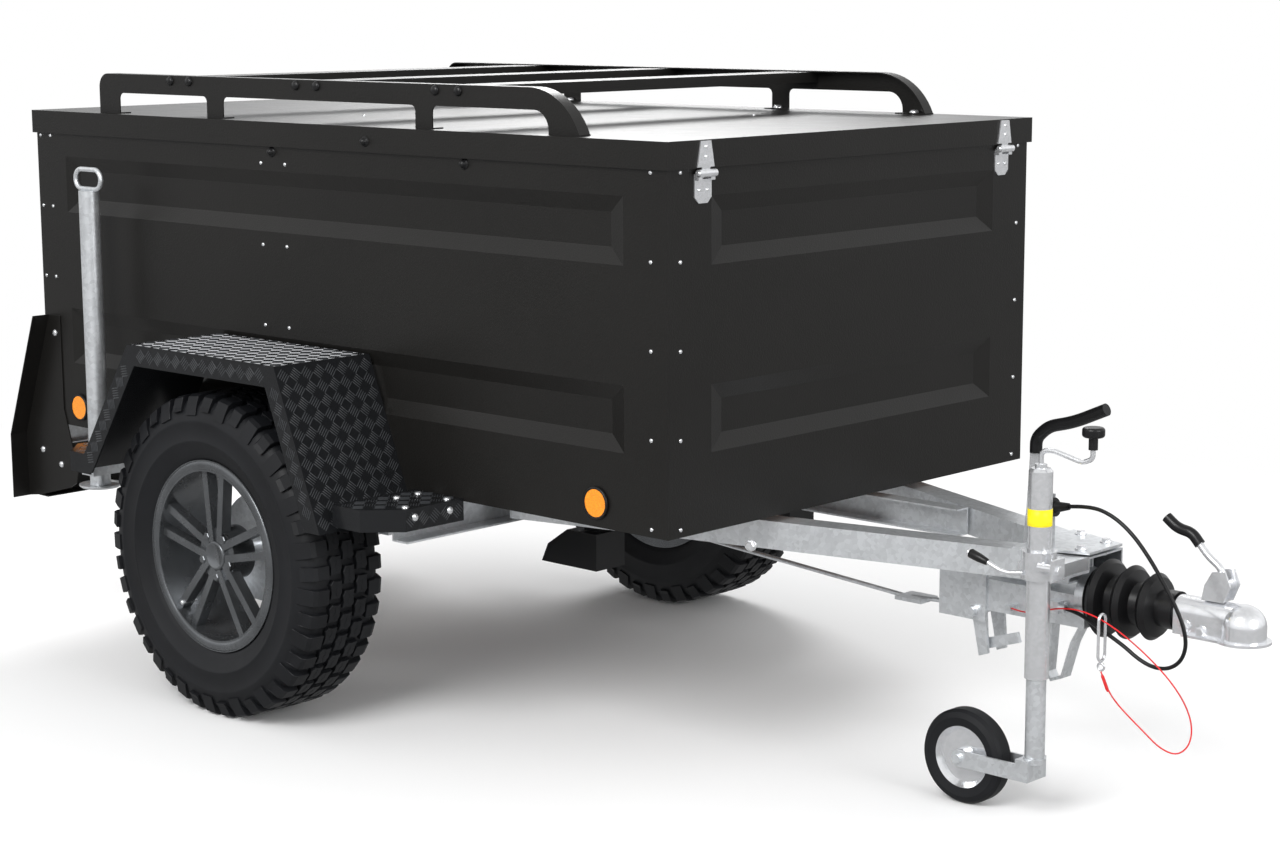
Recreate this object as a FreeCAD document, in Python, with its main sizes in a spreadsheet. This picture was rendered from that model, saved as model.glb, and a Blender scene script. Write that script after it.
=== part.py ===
"""Off-road box trailer, built as an assembly of separate sub-parts.

Frame: +X forward (towards the coupling), +Y to the left, +Z up, millimetres.
The origin is on the ground, at the middle of the trailer's length and width.
"""
import FreeCAD, Part
import math
import os
import re
from FreeCAD import Placement, Rotation, Vector

doc = FreeCAD.newDocument("off_road_trailer")

# ---------------------------------------------------------------- driving sizes
# Each size is written once, here, and lands in the spreadsheet "Sizes".
SIZES = {
    # box
    "box_length": 2160, "box_width": 1220, "box_base": 547, "wall_height": 787,
    "steel": 3, "floor_board": 12, "guard_reach": 106, "drawbar_reach": 1002,
    "axle_setback": 960, "post_width": 32, "post_depth": 30, "rim_fold": 25,
    "corner_leg": 40, "fit_gap": 1, "header_height": 95, "fold_depth": 28,
    # pressed swages of the walls
    "swage_depth": 13, "swage_height": 139, "swage_flat": 70, "swage_end": 120,
    "swage_taper": 45, "lower_swage": 163, "upper_swage": 544,
    # lid and rack
    "lid_gap": 5, "skirt_height": 56, "skirt_gap": 5,
    "rail_height": 96, "rail_band": 46, "rail_inset": 16, "rail_fold": 32,
    "rail_rear": 254, "rail_front": 1905, "rail_rear_radius": 34, "rail_front_radius": 157,
    "rear_foot": 82, "second_foot_place": 681, "second_foot": 61,
    "third_foot_place": 1410, "third_foot": 54, "front_foot": 89,
    "rear_bar_place": 579, "middle_bar_place": 1046, "front_bar_place": 1511,
    "bar_width": 94, "bar_depth": 25, "bar_steel": 3,
    # lid hinges and tailgate hinges
    "lid_hinge_place": 508, "lid_pin_reach": 13, "lid_pin_drop": 66, "lid_pin": 4,
    "lid_knuckle": 8, "lid_leaf": 50, "pin_play": 0.05,
    "gate_gap": 6, "gate_pin_reach": 13, "gate_pin_rise": 12, "gate_pin": 5,
    "gate_knuckle": 7, "gate_hinge_place": 400,
    # wheels
    "tyre_radius": 372, "tyre_width": 225, "tyre_gap": 20, "rim_radius": 203,
    "rim_lip": 221, "rim_width": 186, "rim_wall": 8, "rim_dish": 12, "hub_radius": 62,
    "stub_radius": 22, "spoke_width": 18, "spoke_depth": 26, "spoke_spread": 14,
    "spoke_splay": 6, "spoke_root": 30,
    "drum_radius": 125, "drum_depth": 90,
    # chassis
    "tube_size": 60, "tube_wall": 4, "drawbar_half_front": 61, "drawbar_half_rear": 468,
    "drawbar_drop": 30, "drawbar_nose": 633, "boot_room": 6, "member_width": 48, "member_height": 70,
    "front_member_ahead": 596, "rear_member_behind": 590, "member_reach": 770,
    "axle_tube": 70, "axle_tube_ahead": 150, "axle_tube_height": 430,
    "axle_half_length": 520, "arm_thick": 32, "arm_width": 64,
    "head_plate": 5, "head_plate_length": 150, "side_rail_place": 487, "side_rail_width": 40,
    "centre_place": 95, "centre_width": 40, "centre_top": 530, "centre_length": 800,
    # fenders and steps
    "fender_top": 840, "fender_reach": 270, "fender_plate": 4, "fender_lip": 47,
    "fender_front_top": 300, "fender_front_foot": 440, "fender_front_low": 491,
    "fender_rear_top": 230, "fender_rear_foot": 445, "fender_rear_low": 521,
    "step_top": 553, "step_height": 48, "step_front": 600, "step_rear": 594,
    "step_reach": 235, "step_corner": 68,
    # light guards and light board
    "guard_top": 825, "guard_low": 340, "guard_knee": 507, "guard_flange": 50,
    "guard_front": 122, "guard_head": 18, "board_low": 345, "board_height": 150,
    "board_setback": 44, "board_fold": 40, "lamp_length": 210, "lamp_height": 100,
    "lamp_depth": 30, "lamp_place": 470,
    # prop stands
    "stand_place": 330, "stand_side": 80, "stand_tube": 25, "stand_wall": 3,
    "stand_low": 430, "stand_top": 1160, "stand_foot": 52, "handle_height": 59,
    "handle_width": 115, "handle_rod": 6, "clamp_height": 60, "clamp_wall": 4,
    "slide_play": 0.5,
    # overrun device and coupling
    "housing_setback": 627, "housing_length": 243, "housing_half": 50,
    "housing_low": 366, "housing_top": 432, "coupling_height": 425,
    "head_length": 197, "bellows_radius": 80, "collar_length": 22, "brake_shaft": 11, "shaft_radius": 25,
    "ball_radius": 25, "ball_setback": 54, "dome_radius": 44, "shank_half": 31, "lip": 5,
    # jockey wheel
    "jockey_setback": 402, "jockey_y": 188, "jockey_tube": 24, "jockey_wall": 3,
    "jockey_low": 290, "jockey_top": 712, "jockey_clamp_low": 492,
    "jockey_clamp_height": 56, "jockey_wheel": 98, "jockey_wheel_width": 50,
    "jockey_trail": 163, "jockey_inner": 20, "jockey_hub": 9,
    # cords
    "cable": 8, "wire": 3,
}

sizes = doc.addObject("Spreadsheet::Sheet", "Sizes")
for row, (alias, value) in enumerate(SIZES.items(), start=1):
    sizes.set(f"A{row}", alias)
    sizes.set(f"B{row}", str(value))
    sizes.setAlias(f"B{row}", alias)

# ---------------------------------------------------------------- derived places
# Places and fitted sizes, each a formula of the driving sizes.
PLACES = {
    "total_length": "guard_reach + box_length + drawbar_reach",
    "box_rear": "guard_reach - total_length / 2",
    "box_front": "box_rear + box_length",
    "nose": "total_length / 2",
    "drawbar_end": "box_front + drawbar_nose",
    "axle_x": "box_rear + axle_setback",
    "half_width": "box_width / 2",
    "wall_top": "box_base + wall_height",
    "inner_half": "half_width - steel",
    "lid_under": "wall_top + lid_gap",
    "lid_top": "lid_under + steel",
    "skirt_inner": "half_width + skirt_gap",
    "skirt_outer": "skirt_inner + steel",
    "gate_half": "half_width - post_width - gate_gap",
    "gate_low": "box_base + gate_gap + 2",
    "gate_top": "wall_top - header_height - gate_gap",
    "gate_height": "gate_top - gate_low",
    "floor_rear": "box_rear + fold_depth + gate_gap + 2",
    "lid_pin_x": "box_front + lid_pin_reach",
    "lid_pin_z": "lid_top - lid_pin_drop",
    "gate_pin_x": "box_rear - gate_pin_reach",
    "gate_pin_z": "gate_low + gate_pin_rise",
    "wheel_y": "half_width + tyre_gap + tyre_width / 2",
    "front_member_x": "axle_x + front_member_ahead",
    "rear_member_x": "axle_x - rear_member_behind",
    "member_low": "box_base - member_height",
    "drawbar_slope": "(drawbar_half_rear - drawbar_half_front) / (drawbar_end - front_member_x)",
    "fender_outer": "half_width + fender_reach",
    "rail_y": "half_width - rail_inset",
    "rail_top": "lid_top + rail_height",
    "stand_x": "box_rear + stand_place",
    "stand_y": "half_width + stand_side",
    "housing_rear": "nose - housing_setback",
    "housing_front": "housing_rear + housing_length",
    "bellows_rear": "housing_front",
    "bellows_front": "nose - head_length",
    "jockey_x": "nose - jockey_setback",
    "ball_x": "nose - ball_setback",
    "caster_x": "jockey_x - jockey_trail",
}

places = doc.addObject("Spreadsheet::Sheet", "Places")


def bound(formula):
    """A formula of plain size names, as an expression that names their sheets."""
    def full_name(found):
        word = found.group(0)
        if word in SIZES:
            return "Sizes." + word
        return "Places." + word if word in PLACES else word
    return re.sub(r"[a-z][a-z_0-9]*", full_name, str(formula))


for row, (alias, formula) in enumerate(PLACES.items(), start=1):
    places.set(f"A{row}", alias)
    own = bound(formula).replace("Places.", "")
    places.set(f"B{row}", "=" + own)
    places.setAlias(f"B{row}", alias)
doc.recompute()


def size(alias):
    """The number behind a size or a place."""
    return float(getattr(sizes if alias in SIZES else places, alias))


# ---------------------------------------------------------------- makers
finished = []


def node(thing, label):
    """Marks an object as a finished sub-part and gives it its node name."""
    thing.Label = label
    finished.append(thing)
    return thing


def bind(thing, **formulas):
    """Ties an object's sizes to formulas of the sheet."""
    for prop, formula in formulas.items():
        thing.setExpression(prop, bound(formula))
    return thing


def place(thing, x, y, z):
    """Ties an object's place to formulas of the sheet."""
    for letter, formula in zip("xyz", (x, y, z)):
        thing.setExpression("Placement.Base." + letter, bound(formula))
    return thing


def box(name, x, y, z, length, width, height):
    thing = doc.addObject("Part::Box", name)
    bind(thing, Length=length, Width=width, Height=height)
    return place(thing, x, y, z)


TURNS = {"x": Rotation(Vector(0, 1, 0), 90), "y": Rotation(Vector(1, 0, 0), -90), "z": Rotation()}


def cylinder(name, axis, x, y, z, radius, length):
    """A round bar from (x, y, z) along the positive axis."""
    thing = doc.addObject("Part::Cylinder", name)
    thing.Placement = Placement(Vector(), TURNS[axis])
    bind(thing, Radius=radius, Height=length)
    return place(thing, x, y, z)


def fuse(name, *shapes):
    thing = doc.addObject("Part::MultiFuse", name)
    thing.Shapes = list(shapes)
    return thing


def cut(name, base, tool):
    thing = doc.addObject("Part::Cut", name)
    thing.Base = base
    thing.Tool = tool
    return thing


def together(name, *shapes):
    """Pieces of one node that do not touch."""
    thing = doc.addObject("Part::Compound", name)
    thing.Links = list(shapes)
    return thing


def mirrored(name, source):
    """The left-hand twin of a right-hand piece."""
    thing = doc.addObject("Part::Mirroring", name)
    thing.Source = source
    thing.Normal = Vector(0, 1, 0)
    return thing


def pair(name, source):
    """Both hands of a piece in one node."""
    return together(name, source, mirrored(name + "_twin", source))


def feature(name, shape):
    """A piece whose shape is made here with Part's own functions."""
    thing = doc.addObject("Part::Feature", name)
    thing.Shape = shape
    return thing


def sketch_outline(body, plane, outlines, offset):
    """A sketch whose corners are bound to formulas; the first outline is the outer one."""
    import Sketcher
    sketch = body.newObject("Sketcher::SketchObject", body.Name + "_outline")
    support = [part for part in body.Origin.OriginFeatures if part.Role == plane][0]
    sketch.AttachmentSupport = (support, [""])
    sketch.MapMode = "FlatFace"
    sketch.setExpression("AttachmentOffset.Base.z", bound(offset))
    for outline in outlines:
        first = sketch.GeometryCount
        count = len(outline)
        guess = [(math.cos(2 * math.pi * k / count), math.sin(2 * math.pi * k / count))
                 for k in range(count)]
        for k in range(count):
            here = Vector(*guess[k], 0)
            there = Vector(*guess[(k + 1) % count], 0)
            sketch.addGeometry(Part.LineSegment(here, there), False)
        for k in range(count):
            ahead = first + (k + 1) % count
            sketch.addConstraint(Sketcher.Constraint("Coincident", first + k, 2, ahead, 1))
        for k, corner in enumerate(outline):
            for kind, formula in zip(("DistanceX", "DistanceY"), corner):
                index = sketch.addConstraint(
                    Sketcher.Constraint(kind, -1, 1, first + k, 1, guess[k][kind == "DistanceY"]))
                sketch.setExpression(f"Constraints[{index}]", bound(formula))
    return sketch


def pad(name, plane, outlines, offset, depth):
    """A flat outline with a thickness, as a PartDesign body."""
    body = doc.addObject("PartDesign::Body", name)
    sketch = sketch_outline(body, plane, outlines, offset)
    slab = body.newObject("PartDesign::Pad", name + "_pad")
    slab.Profile = sketch
    slab.setExpression("Length", bound(depth))
    return body


def turned(name, axis, x, y, z, outline):
    """A solid of revolution about an axis through (x, y, z).

    The outline's corners are (radius, distance along the axis).
    """
    body = doc.addObject("PartDesign::Body", name)
    sketch = sketch_outline(body, "XY_Plane", [outline], "0")
    spin = body.newObject("PartDesign::Revolution", name + "_turn")
    spin.Profile = sketch
    spin.ReferenceAxis = (sketch, ["V_Axis"])
    spin.Angle = 360
    turns = {"x": Rotation(Vector(0, 0, 1), -90), "y": Rotation(), "z": Rotation(Vector(1, 0, 0), 90)}
    body.Placement = Placement(Vector(), turns[axis])
    return place(body, x, y, z)


def rectangle(u1, v1, u2, v2):
    return [(u1, v1), (u2, v1), (u2, v2), (u1, v2)]


def route(points):
    """A path of straight runs joined by tangent arcs, and its tightest radius."""
    edges = []
    start = points[0]
    radii = []
    for before, corner, after in zip(points, points[1:], points[2:]):
        come, leave = corner - before, after - corner
        turn = come.getAngle(leave)
        reach = 0.45 * min(come.Length, leave.Length)
        bend = reach / math.tan(turn / 2)
        radii.append(bend)
        enter = corner - come.normalize() * reach
        end = corner + leave.normalize() * reach
        inwards = ((enter + end) * 0.5 - corner).normalize()
        middle = corner + inwards * (math.hypot(bend, reach) - bend)
        edges.append(Part.LineSegment(start, enter).toShape())
        edges.append(Part.Arc(enter, middle, end).toShape())
        start = end
    edges.append(Part.LineSegment(start, points[-1]).toShape())
    return Part.Wire(edges), radii


def bent_bar(points, radius):
    """A round bar along a route."""
    path, radii = route(points)
    ring = Part.Wire(Part.makeCircle(radius, points[0], points[1] - points[0]))
    return path.makePipeShell([ring], True, False)


# ---------------------------------------------------------------- walls of the box
def swage(name, side, low, start, end, grow):
    """The tapered tool of one pressed swage, on the right wall, the front wall or the tailgate.

    `grow` is 0 for the hollow outside and the sheet's thickness for its back.
    """
    thing = doc.addObject("Part::Wedge", name)
    half_slope = "(swage_height - swage_flat) / 2"
    bind(thing, Xmin=f"{start} - {grow}", Xmax=f"{end} + {grow}",
         X2min=f"{start} + swage_taper - {grow}", X2max=f"{end} - swage_taper + {grow}",
         Zmin=f"-{grow}", Zmax=f"swage_height + {grow}",
         Z2min=f"{half_slope} - {grow}", Z2max=f"{half_slope} + swage_flat + {grow}",
         Ymin="0", Ymax=f"swage_depth + {grow}")
    if side == "right":
        return place(thing, "0", "-half_width", f"box_base + {low}")
    turn = 90 if side == "front" else -90
    thing.Placement = Placement(Vector(), Rotation(Vector(0, 0, 1), turn))
    wall_x = "box_front" if side == "front" else "box_rear"
    return place(thing, wall_x, "0", f"box_base + {low}")


def swaged(name, side, sheet, start, end):
    """A wall sheet with its two pressed swages."""
    wall = sheet
    for row, low in (("lower", "lower_swage"), ("upper", "upper_swage")):
        back = swage(f"{name}_{row}_back", side, low, start, end, "steel")
        hollow = swage(f"{name}_{row}_hollow", side, low, start, end, "0")
        wall = cut(f"{name}_{row}", fuse(f"{name}_{row}_raised", wall, back), hollow)
    return wall


def side_panel():
    rear = "box_rear + post_depth"
    sheet = box("side_sheet", rear, "-half_width", "box_base",
                "box_length - post_depth", "steel", "wall_height")
    fold = box("side_fold", rear, "-half_width", "wall_top - steel",
               "box_length - post_depth - steel", "rim_fold", "steel")
    wall = swaged("side_wall", "right", sheet, "box_rear + swage_end", "box_front - swage_end")
    return fuse("side_panel", wall, fold)


right_side = node(side_panel(), "side_panel_right")
node(mirrored("side_twin", right_side), "side_panel_left")


def front_panel():
    sheet = box("front_sheet", "box_front - steel", "-inner_half", "box_base",
                "steel", "2 * inner_half", "wall_height")
    fold = box("front_fold", "box_front - rim_fold", "-half_width + rim_fold", "wall_top - steel",
               "rim_fold", "2 * (half_width - rim_fold)", "steel")
    wall = swaged("front_wall", "front", sheet, "-half_width + swage_end + 10", "half_width - swage_end - 10")
    return fuse("front_panel", wall, fold)


node(front_panel(), "front_panel")


def floor_panel():
    """A plywood board with its front corners cut out for the angles."""
    board = box("floor_board", "floor_rear", "-inner_half", "box_base",
                "box_front - steel - floor_rear", "2 * inner_half", "floor_board")
    notch = box("floor_notch", "box_front - steel - corner_leg - fit_gap", "-inner_half - 1", "box_base - 1",
                "corner_leg + fit_gap + 1", "corner_leg + fit_gap + 1", "floor_board + 2")
    return cut("floor", board, fuse("floor_notches", notch, mirrored("floor_notch_twin", notch)))


node(floor_panel(), "floor_panel")


def corner_posts():
    """Angles inside the front corners and square posts at the rear ones."""
    front_x = "box_front - steel - corner_leg"
    front_y = "-inner_half"
    inner = "box_front - steel"
    angle = pad("front_angle", "XY_Plane",
                [[(front_x, front_y), (inner, front_y), (inner, front_y + " + corner_leg"),
                  (inner + " - steel", front_y + " + corner_leg"),
                  (inner + " - steel", front_y + " + steel"), (front_x, front_y + " + steel")]],
                "box_base", "wall_height - steel")
    post = pad("rear_post", "XY_Plane",
               [rectangle("box_rear", "-half_width", "box_rear + post_depth", "-half_width + post_width"),
                rectangle("box_rear + steel", "-half_width + steel",
                          "box_rear + post_depth - steel", "-half_width + post_width - steel")],
               "box_base", "wall_height")
    right = together("right_posts", angle, post)
    return together("corner_posts", angle, post, mirrored("left_posts", right))


node(corner_posts(), "corner_posts")


def rear_header():
    """A folded beam across the top of the rear opening."""
    low = "wall_top - header_height"
    deep = "box_rear + post_depth"
    return pad("rear_header", "XZ_Plane",
               [[("box_rear", low), (deep, low), (deep, low + " + steel"),
                 ("box_rear + steel", low + " + steel"), ("box_rear + steel", "wall_top - steel"),
                 (deep, "wall_top - steel"), (deep, "wall_top"), ("box_rear", "wall_top")]],
               "-half_width + post_width", "2 * (half_width - post_width)")


node(rear_header(), "rear_header")


def tailgate():
    """A pan of sheet steel with folded edges, hinged along its lower edge."""
    block = box("gate_block", "box_rear", "-gate_half", "gate_low",
                "fold_depth", "2 * gate_half", "gate_height")
    hollow = box("gate_hollow", "box_rear + steel", "-gate_half + steel", "gate_low + steel",
                 "fold_depth", "2 * (gate_half - steel)", "gate_height - 2 * steel")
    pan = cut("gate_pan", block, hollow)
    wall = swaged("gate_wall", "rear", pan, "-half_width + swage_end + 10", "half_width - swage_end - 10")
    pieces = [wall]
    for side, sign in (("right", "-"), ("left", "")):
        y = f"{sign}gate_hinge_place"
        barrel = cylinder(f"gate_barrel_{side}", "y", "gate_pin_x", y + " - 20", "gate_pin_z",
                          "gate_knuckle", "40")
        strap = box(f"gate_strap_{side}", "gate_pin_x", y + " - 20", "gate_pin_z - 3",
                    "gate_pin_reach + steel / 2", "40", "6")
        leaf = box(f"gate_leaf_{side}", "box_rear - 3", y + " - 20", "gate_low + 2",
                   "3 + steel / 2", "40", "110")
        bore = cylinder(f"gate_bore_{side}", "y", "gate_pin_x", y + " - 21", "gate_pin_z",
                        "gate_pin + pin_play", "42")
        knuckle = fuse(f"gate_knuckle_{side}", barrel, strap, leaf)
        pieces.append(cut(f"gate_half_hinge_{side}", knuckle, bore))
    return fuse("tailgate", *pieces)


node(tailgate(), "tailgate")


def gate_hinges():
    """The pins that carry the tailgate and their ears on the rear cross member."""
    hinges = []
    for side, sign in (("right", "-"), ("left", "")):
        y = f"{sign}gate_hinge_place"
        pin = cylinder(f"gate_pin_{side}", "y", "gate_pin_x", y + " - 28", "gate_pin_z", "gate_pin", "56")
        ears = []
        for hand, shift in (("a", "- 27"), ("b", "+ 21")):
            ear_round = cylinder(f"gate_ear_round_{side}_{hand}", "y", "gate_pin_x", f"{y} {shift}",
                                 "gate_pin_z", "gate_knuckle", "6")
            ear = box(f"gate_ear_{side}_{hand}", "gate_pin_x - gate_knuckle", f"{y} {shift}",
                      "member_low + 10", "2 * gate_knuckle", "6", "gate_pin_z - member_low - 10")
            ears += [ear_round, ear]
        plate = box(f"gate_plate_{side}", "gate_pin_x - gate_knuckle", y + " - 40", "member_low + 10",
                    "box_rear - gate_pin_x + gate_knuckle", "80", "34")
        hinges.append(fuse(f"gate_hinge_{side}", pin, plate, *ears))
    return together("gate_hinges", *hinges)


node(gate_hinges(), "tailgate_hinges")


def gate_latches():
    """A latch plate with a bail at each upper corner of the tailgate."""
    plate_y = "-gate_half + 8"
    plate_z = "gate_top - 78"
    plate = box("latch_plate", "box_rear - 3", plate_y, plate_z, "3", "46", "62")
    wide, tall, reach = size("gate_half") - 4, size("gate_top") - 78, size("box_rear") - 3
    bail_points = [Vector(reach, -wide + 4, tall + 4), Vector(reach - 30, -wide + 4, tall + 4),
                   Vector(reach - 30, -wide + 4, tall + 58), Vector(reach, -wide + 4, tall + 58)]
    bail = feature("latch_bail", bent_bar([p + Vector(0, 20, 0) for p in bail_points], 2.5))
    return pair("gate_latches", fuse("gate_latch", plate, bail))


node(gate_latches(), "tailgate_latches")


# ---------------------------------------------------------------- lid and rack
def lid():
    """A pan turned upside down: one sheet with a skirt all round."""
    rear = "box_rear - skirt_gap - steel"
    long_side = "box_length + 2 * (skirt_gap + steel)"
    skirt_low = "lid_top - skirt_height"
    block = box("lid_block", rear, "-skirt_outer", skirt_low, long_side, "2 * skirt_outer", "skirt_height")
    hollow = box("lid_hollow", rear + " + steel", "-skirt_inner", skirt_low + " - 1",
                 long_side + " - 2 * steel", "2 * skirt_inner", "skirt_height - steel + 1")
    return cut("lid", block, hollow)


node(lid(), "lid")


def roof_rail():
    """A rail cut from plate, with its top edge folded inwards and four folded feet."""
    base, top = size("lid_top"), size("rail_top")
    rear = size("box_rear") + size("rail_rear")
    front = size("box_rear") + size("rail_front")
    small, large = size("rail_rear_radius"), size("rail_front_radius")
    rise = top - base
    sweep = math.acos((large - rise) / large)
    run = large * math.sin(sweep)

    def outline(inset):
        """The rail seen from its side, drawn in by an inset."""
        low, high = base, top - inset
        back, fore = rear + inset, front - inset
        corner = small - inset
        bend = large - inset
        centre = Vector(front - run, 0, top - large)
        bend_end = Vector(centre.x + math.sqrt(bend ** 2 - (low - centre.z) ** 2), 0, low)
        half = (sweep / 2)
        bend_mid = centre + Vector(bend * math.sin(half), 0, bend * math.cos(half))
        slope = corner * (1 - math.sqrt(0.5))
        edges = [
            Part.LineSegment(Vector(back, 0, low), Vector(back, 0, high - corner)).toShape(),
            Part.Arc(Vector(back, 0, high - corner), Vector(back + slope, 0, high - slope),
                     Vector(back + corner, 0, high)).toShape(),
            Part.LineSegment(Vector(back + corner, 0, high), Vector(centre.x, 0, high)).toShape(),
            Part.Arc(Vector(centre.x, 0, high), bend_mid, bend_end).toShape(),
            Part.LineSegment(bend_end, Vector(back, 0, low)).toShape(),
        ]
        return Part.Face(Part.Wire(edges))

    def window(start, end, front_radius):
        """An opening between two feet, open at the bottom, with rounded top corners."""
        high = top - size("rail_band")
        soft = 14
        cut_low = base - 1
        near, far = soft * (1 - math.sqrt(0.5)), front_radius * (1 - math.sqrt(0.5))
        edges = [
            Part.LineSegment(Vector(start, 0, cut_low), Vector(start, 0, high - soft)).toShape(),
            Part.Arc(Vector(start, 0, high - soft), Vector(start + near, 0, high - near),
                     Vector(start + soft, 0, high)).toShape(),
            Part.LineSegment(Vector(start + soft, 0, high), Vector(end - front_radius, 0, high)).toShape(),
            Part.Arc(Vector(end - front_radius, 0, high), Vector(end - far, 0, high - far),
                     Vector(end, 0, high - front_radius)).toShape(),
            Part.LineSegment(Vector(end, 0, high - front_radius), Vector(end, 0, cut_low)).toShape(),
            Part.LineSegment(Vector(end, 0, cut_low), Vector(start, 0, cut_low)).toShape(),
        ]
        return Part.Face(Part.Wire(edges)).extrude(Vector(0, size("rail_fold") + 2, 0))

    steel = size("steel")
    plate = outline(0).extrude(Vector(0, steel, 0))
    ring = outline(0).cut(outline(steel)).extrude(Vector(0, size("rail_fold"), 0))
    tabs = Part.makeBox(front - rear, size("rail_fold"), steel, Vector(rear, 0, base))
    rail = plate.fuse(ring).fuse(tabs)
    feet = [(rear, size("rear_foot")),
            (size("box_rear") + size("second_foot_place"), size("second_foot")),
            (size("box_rear") + size("third_foot_place"), size("third_foot")),
            (front - size("front_foot"), size("front_foot"))]
    for index in range(3):
        start = feet[index][0] + feet[index][1]
        end = feet[index + 1][0]
        opening = window(start, end, 42 if index == 2 else 14)
        opening.translate(Vector(0, -1, 0))
        rail = rail.cut(opening)
    rail = rail.removeSplitter()
    rail.translate(Vector(0, -size("rail_y"), 0))
    return feature("roof_rail", rail)


node(pair("rails", roof_rail()), "roof_rails")


def crossbars():
    """Three channels between the rails, open downwards."""
    bars = []
    for name in ("rear", "middle", "front"):
        centre = f"box_rear + {name}_bar_place"
        high = "rail_top - steel"
        left, right = centre + " - bar_width / 2", centre + " + bar_width / 2"
        low = high + " - bar_depth"
        bars.append(pad(f"{name}_bar", "XZ_Plane",
                        [[(left, low), (left + " + bar_steel", low),
                          (left + " + bar_steel", high + " - bar_steel"),
                          (right + " - bar_steel", high + " - bar_steel"),
                          (right + " - bar_steel", low), (right, low), (right, high), (left, high)]],
                        "-rail_y + steel", "2 * (rail_y - steel)"))
    return together("crossbars", *bars)


node(crossbars(), "rack_crossbars")


def lid_hinge():
    """The right-hand front hinge: (leaf on the lid, leaf with its pin on the front wall)."""
    y = "-lid_hinge_place"
    half = "lid_leaf / 2"
    face = "box_front + skirt_gap + steel"
    upper = pad("upper_leaf", "YZ_Plane",
                [[(f"{y} - {half}", "lid_top - skirt_height + 2"), (f"{y} + {half}", "lid_top - skirt_height + 2"),
                  (f"{y} + {half} - 10", "lid_top - 2"), (f"{y} - {half} + 10", "lid_top - 2")]],
                face, "3")
    web = box("upper_web", face, f"{y} - 12", "lid_pin_z", "3", "24",
              "lid_top - skirt_height + 4 - lid_pin_z")
    barrel = cylinder("upper_barrel", "y", "lid_pin_x", f"{y} - 12", "lid_pin_z", "lid_knuckle", "24")
    bore = cylinder("upper_bore", "y", "lid_pin_x", f"{y} - 13", "lid_pin_z", "lid_pin + pin_play", "26")
    lid_half = cut("upper_hinge", fuse("upper_solid", upper, web, barrel), bore)
    lower = pad("lower_leaf", "YZ_Plane",
                [[(f"{y} - {half}", "lid_pin_z - 12"), (f"{y} - {half}", "lid_pin_z - 48"),
                  (f"{y} - {half} + 12", "lid_pin_z - 60"), (f"{y} + {half} - 12", "lid_pin_z - 60"),
                  (f"{y} + {half}", "lid_pin_z - 48"), (f"{y} + {half}", "lid_pin_z - 12")]],
                "box_front", "3")
    pin = cylinder("lid_pin", "y", "lid_pin_x", f"{y} - 29", "lid_pin_z", "lid_pin", "58")
    pieces = [lower, pin]
    for hand, shift in (("a", "- 25"), ("b", "+ 12.5")):
        pieces.append(cylinder(f"lower_barrel_{hand}", "y", "lid_pin_x", f"{y} {shift}", "lid_pin_z",
                               "lid_knuckle", "12.5"))
        pieces.append(box(f"lower_web_{hand}", "box_front", f"{y} {shift}", "lid_pin_z - 14",
                          "lid_pin_reach", "12.5", "12"))
    return lid_half, fuse("lower_hinge", *pieces)


upper_hinge, lower_hinge = lid_hinge()
node(pair("upper_hinges", upper_hinge), "lid_hinge_leaves")
node(pair("lower_hinges", lower_hinge), "lid_hinge_brackets")


# ---------------------------------------------------------------- chassis
def drawbar_rail():
    """The right arm of the drawbar: a square tube that runs in and slightly down to the nose."""
    rear_x, nose_x = size("front_member_x"), size("drawbar_end")
    rear = Vector(rear_x, -size("drawbar_half_rear"), size("box_base"))
    front = Vector(nose_x, -size("drawbar_half_front"), size("box_base") - size("drawbar_drop"))
    run = front - rear
    wide, wall, spare = size("tube_size"), size("tube_wall"), 60
    tube = Part.makeBox(run.Length + 2 * spare, wide, wide, Vector(-spare, 0, -wide))
    hollow = Part.makeBox(run.Length + 4 * spare, wide - 2 * wall, wide - 2 * wall,
                          Vector(-2 * spare, wall, wall - wide))
    rail = tube.cut(hollow)
    yaw = math.degrees(math.atan2(run.y, run.x))
    pitch = math.degrees(math.asin(-run.z / run.Length))
    rail.Placement = Placement(rear, Rotation(yaw, pitch, 0))
    room = Part.makeBox(nose_x - rear_x, size("half_width"), size("box_base"),
                        Vector(rear_x, -size("half_width") - 1, 0))
    boot = Part.makeCylinder(size("bellows_radius") + size("boot_room"), nose_x,
                             Vector(size("housing_front") - size("collar_length") - 2, 0, size("coupling_height")),
                             Vector(1, 0, 0))
    return feature("drawbar_rail", rail.common(room).cut(boot))


right_drawbar = node(drawbar_rail(), "drawbar_rail_right")
node(mirrored("drawbar_twin", right_drawbar), "drawbar_rail_left")


def side_rails():
    """Channels under the floor between the two cross members, open inwards."""
    y = "-side_rail_place"
    inner = y + " + side_rail_width"
    return pair("side_rails", pad(
        "side_rail", "YZ_Plane",
        [[(y, "member_low"), (inner, "member_low"), (inner, "member_low + tube_wall"),
          (y + " + tube_wall", "member_low + tube_wall"), (y + " + tube_wall", "box_base - tube_wall"),
          (inner, "box_base - tube_wall"), (inner, "box_base"), (y, "box_base")]],
        "rear_member_x + member_width", "front_member_x - rear_member_x - 2 * member_width"))


node(side_rails(), "side_rails")


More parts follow.
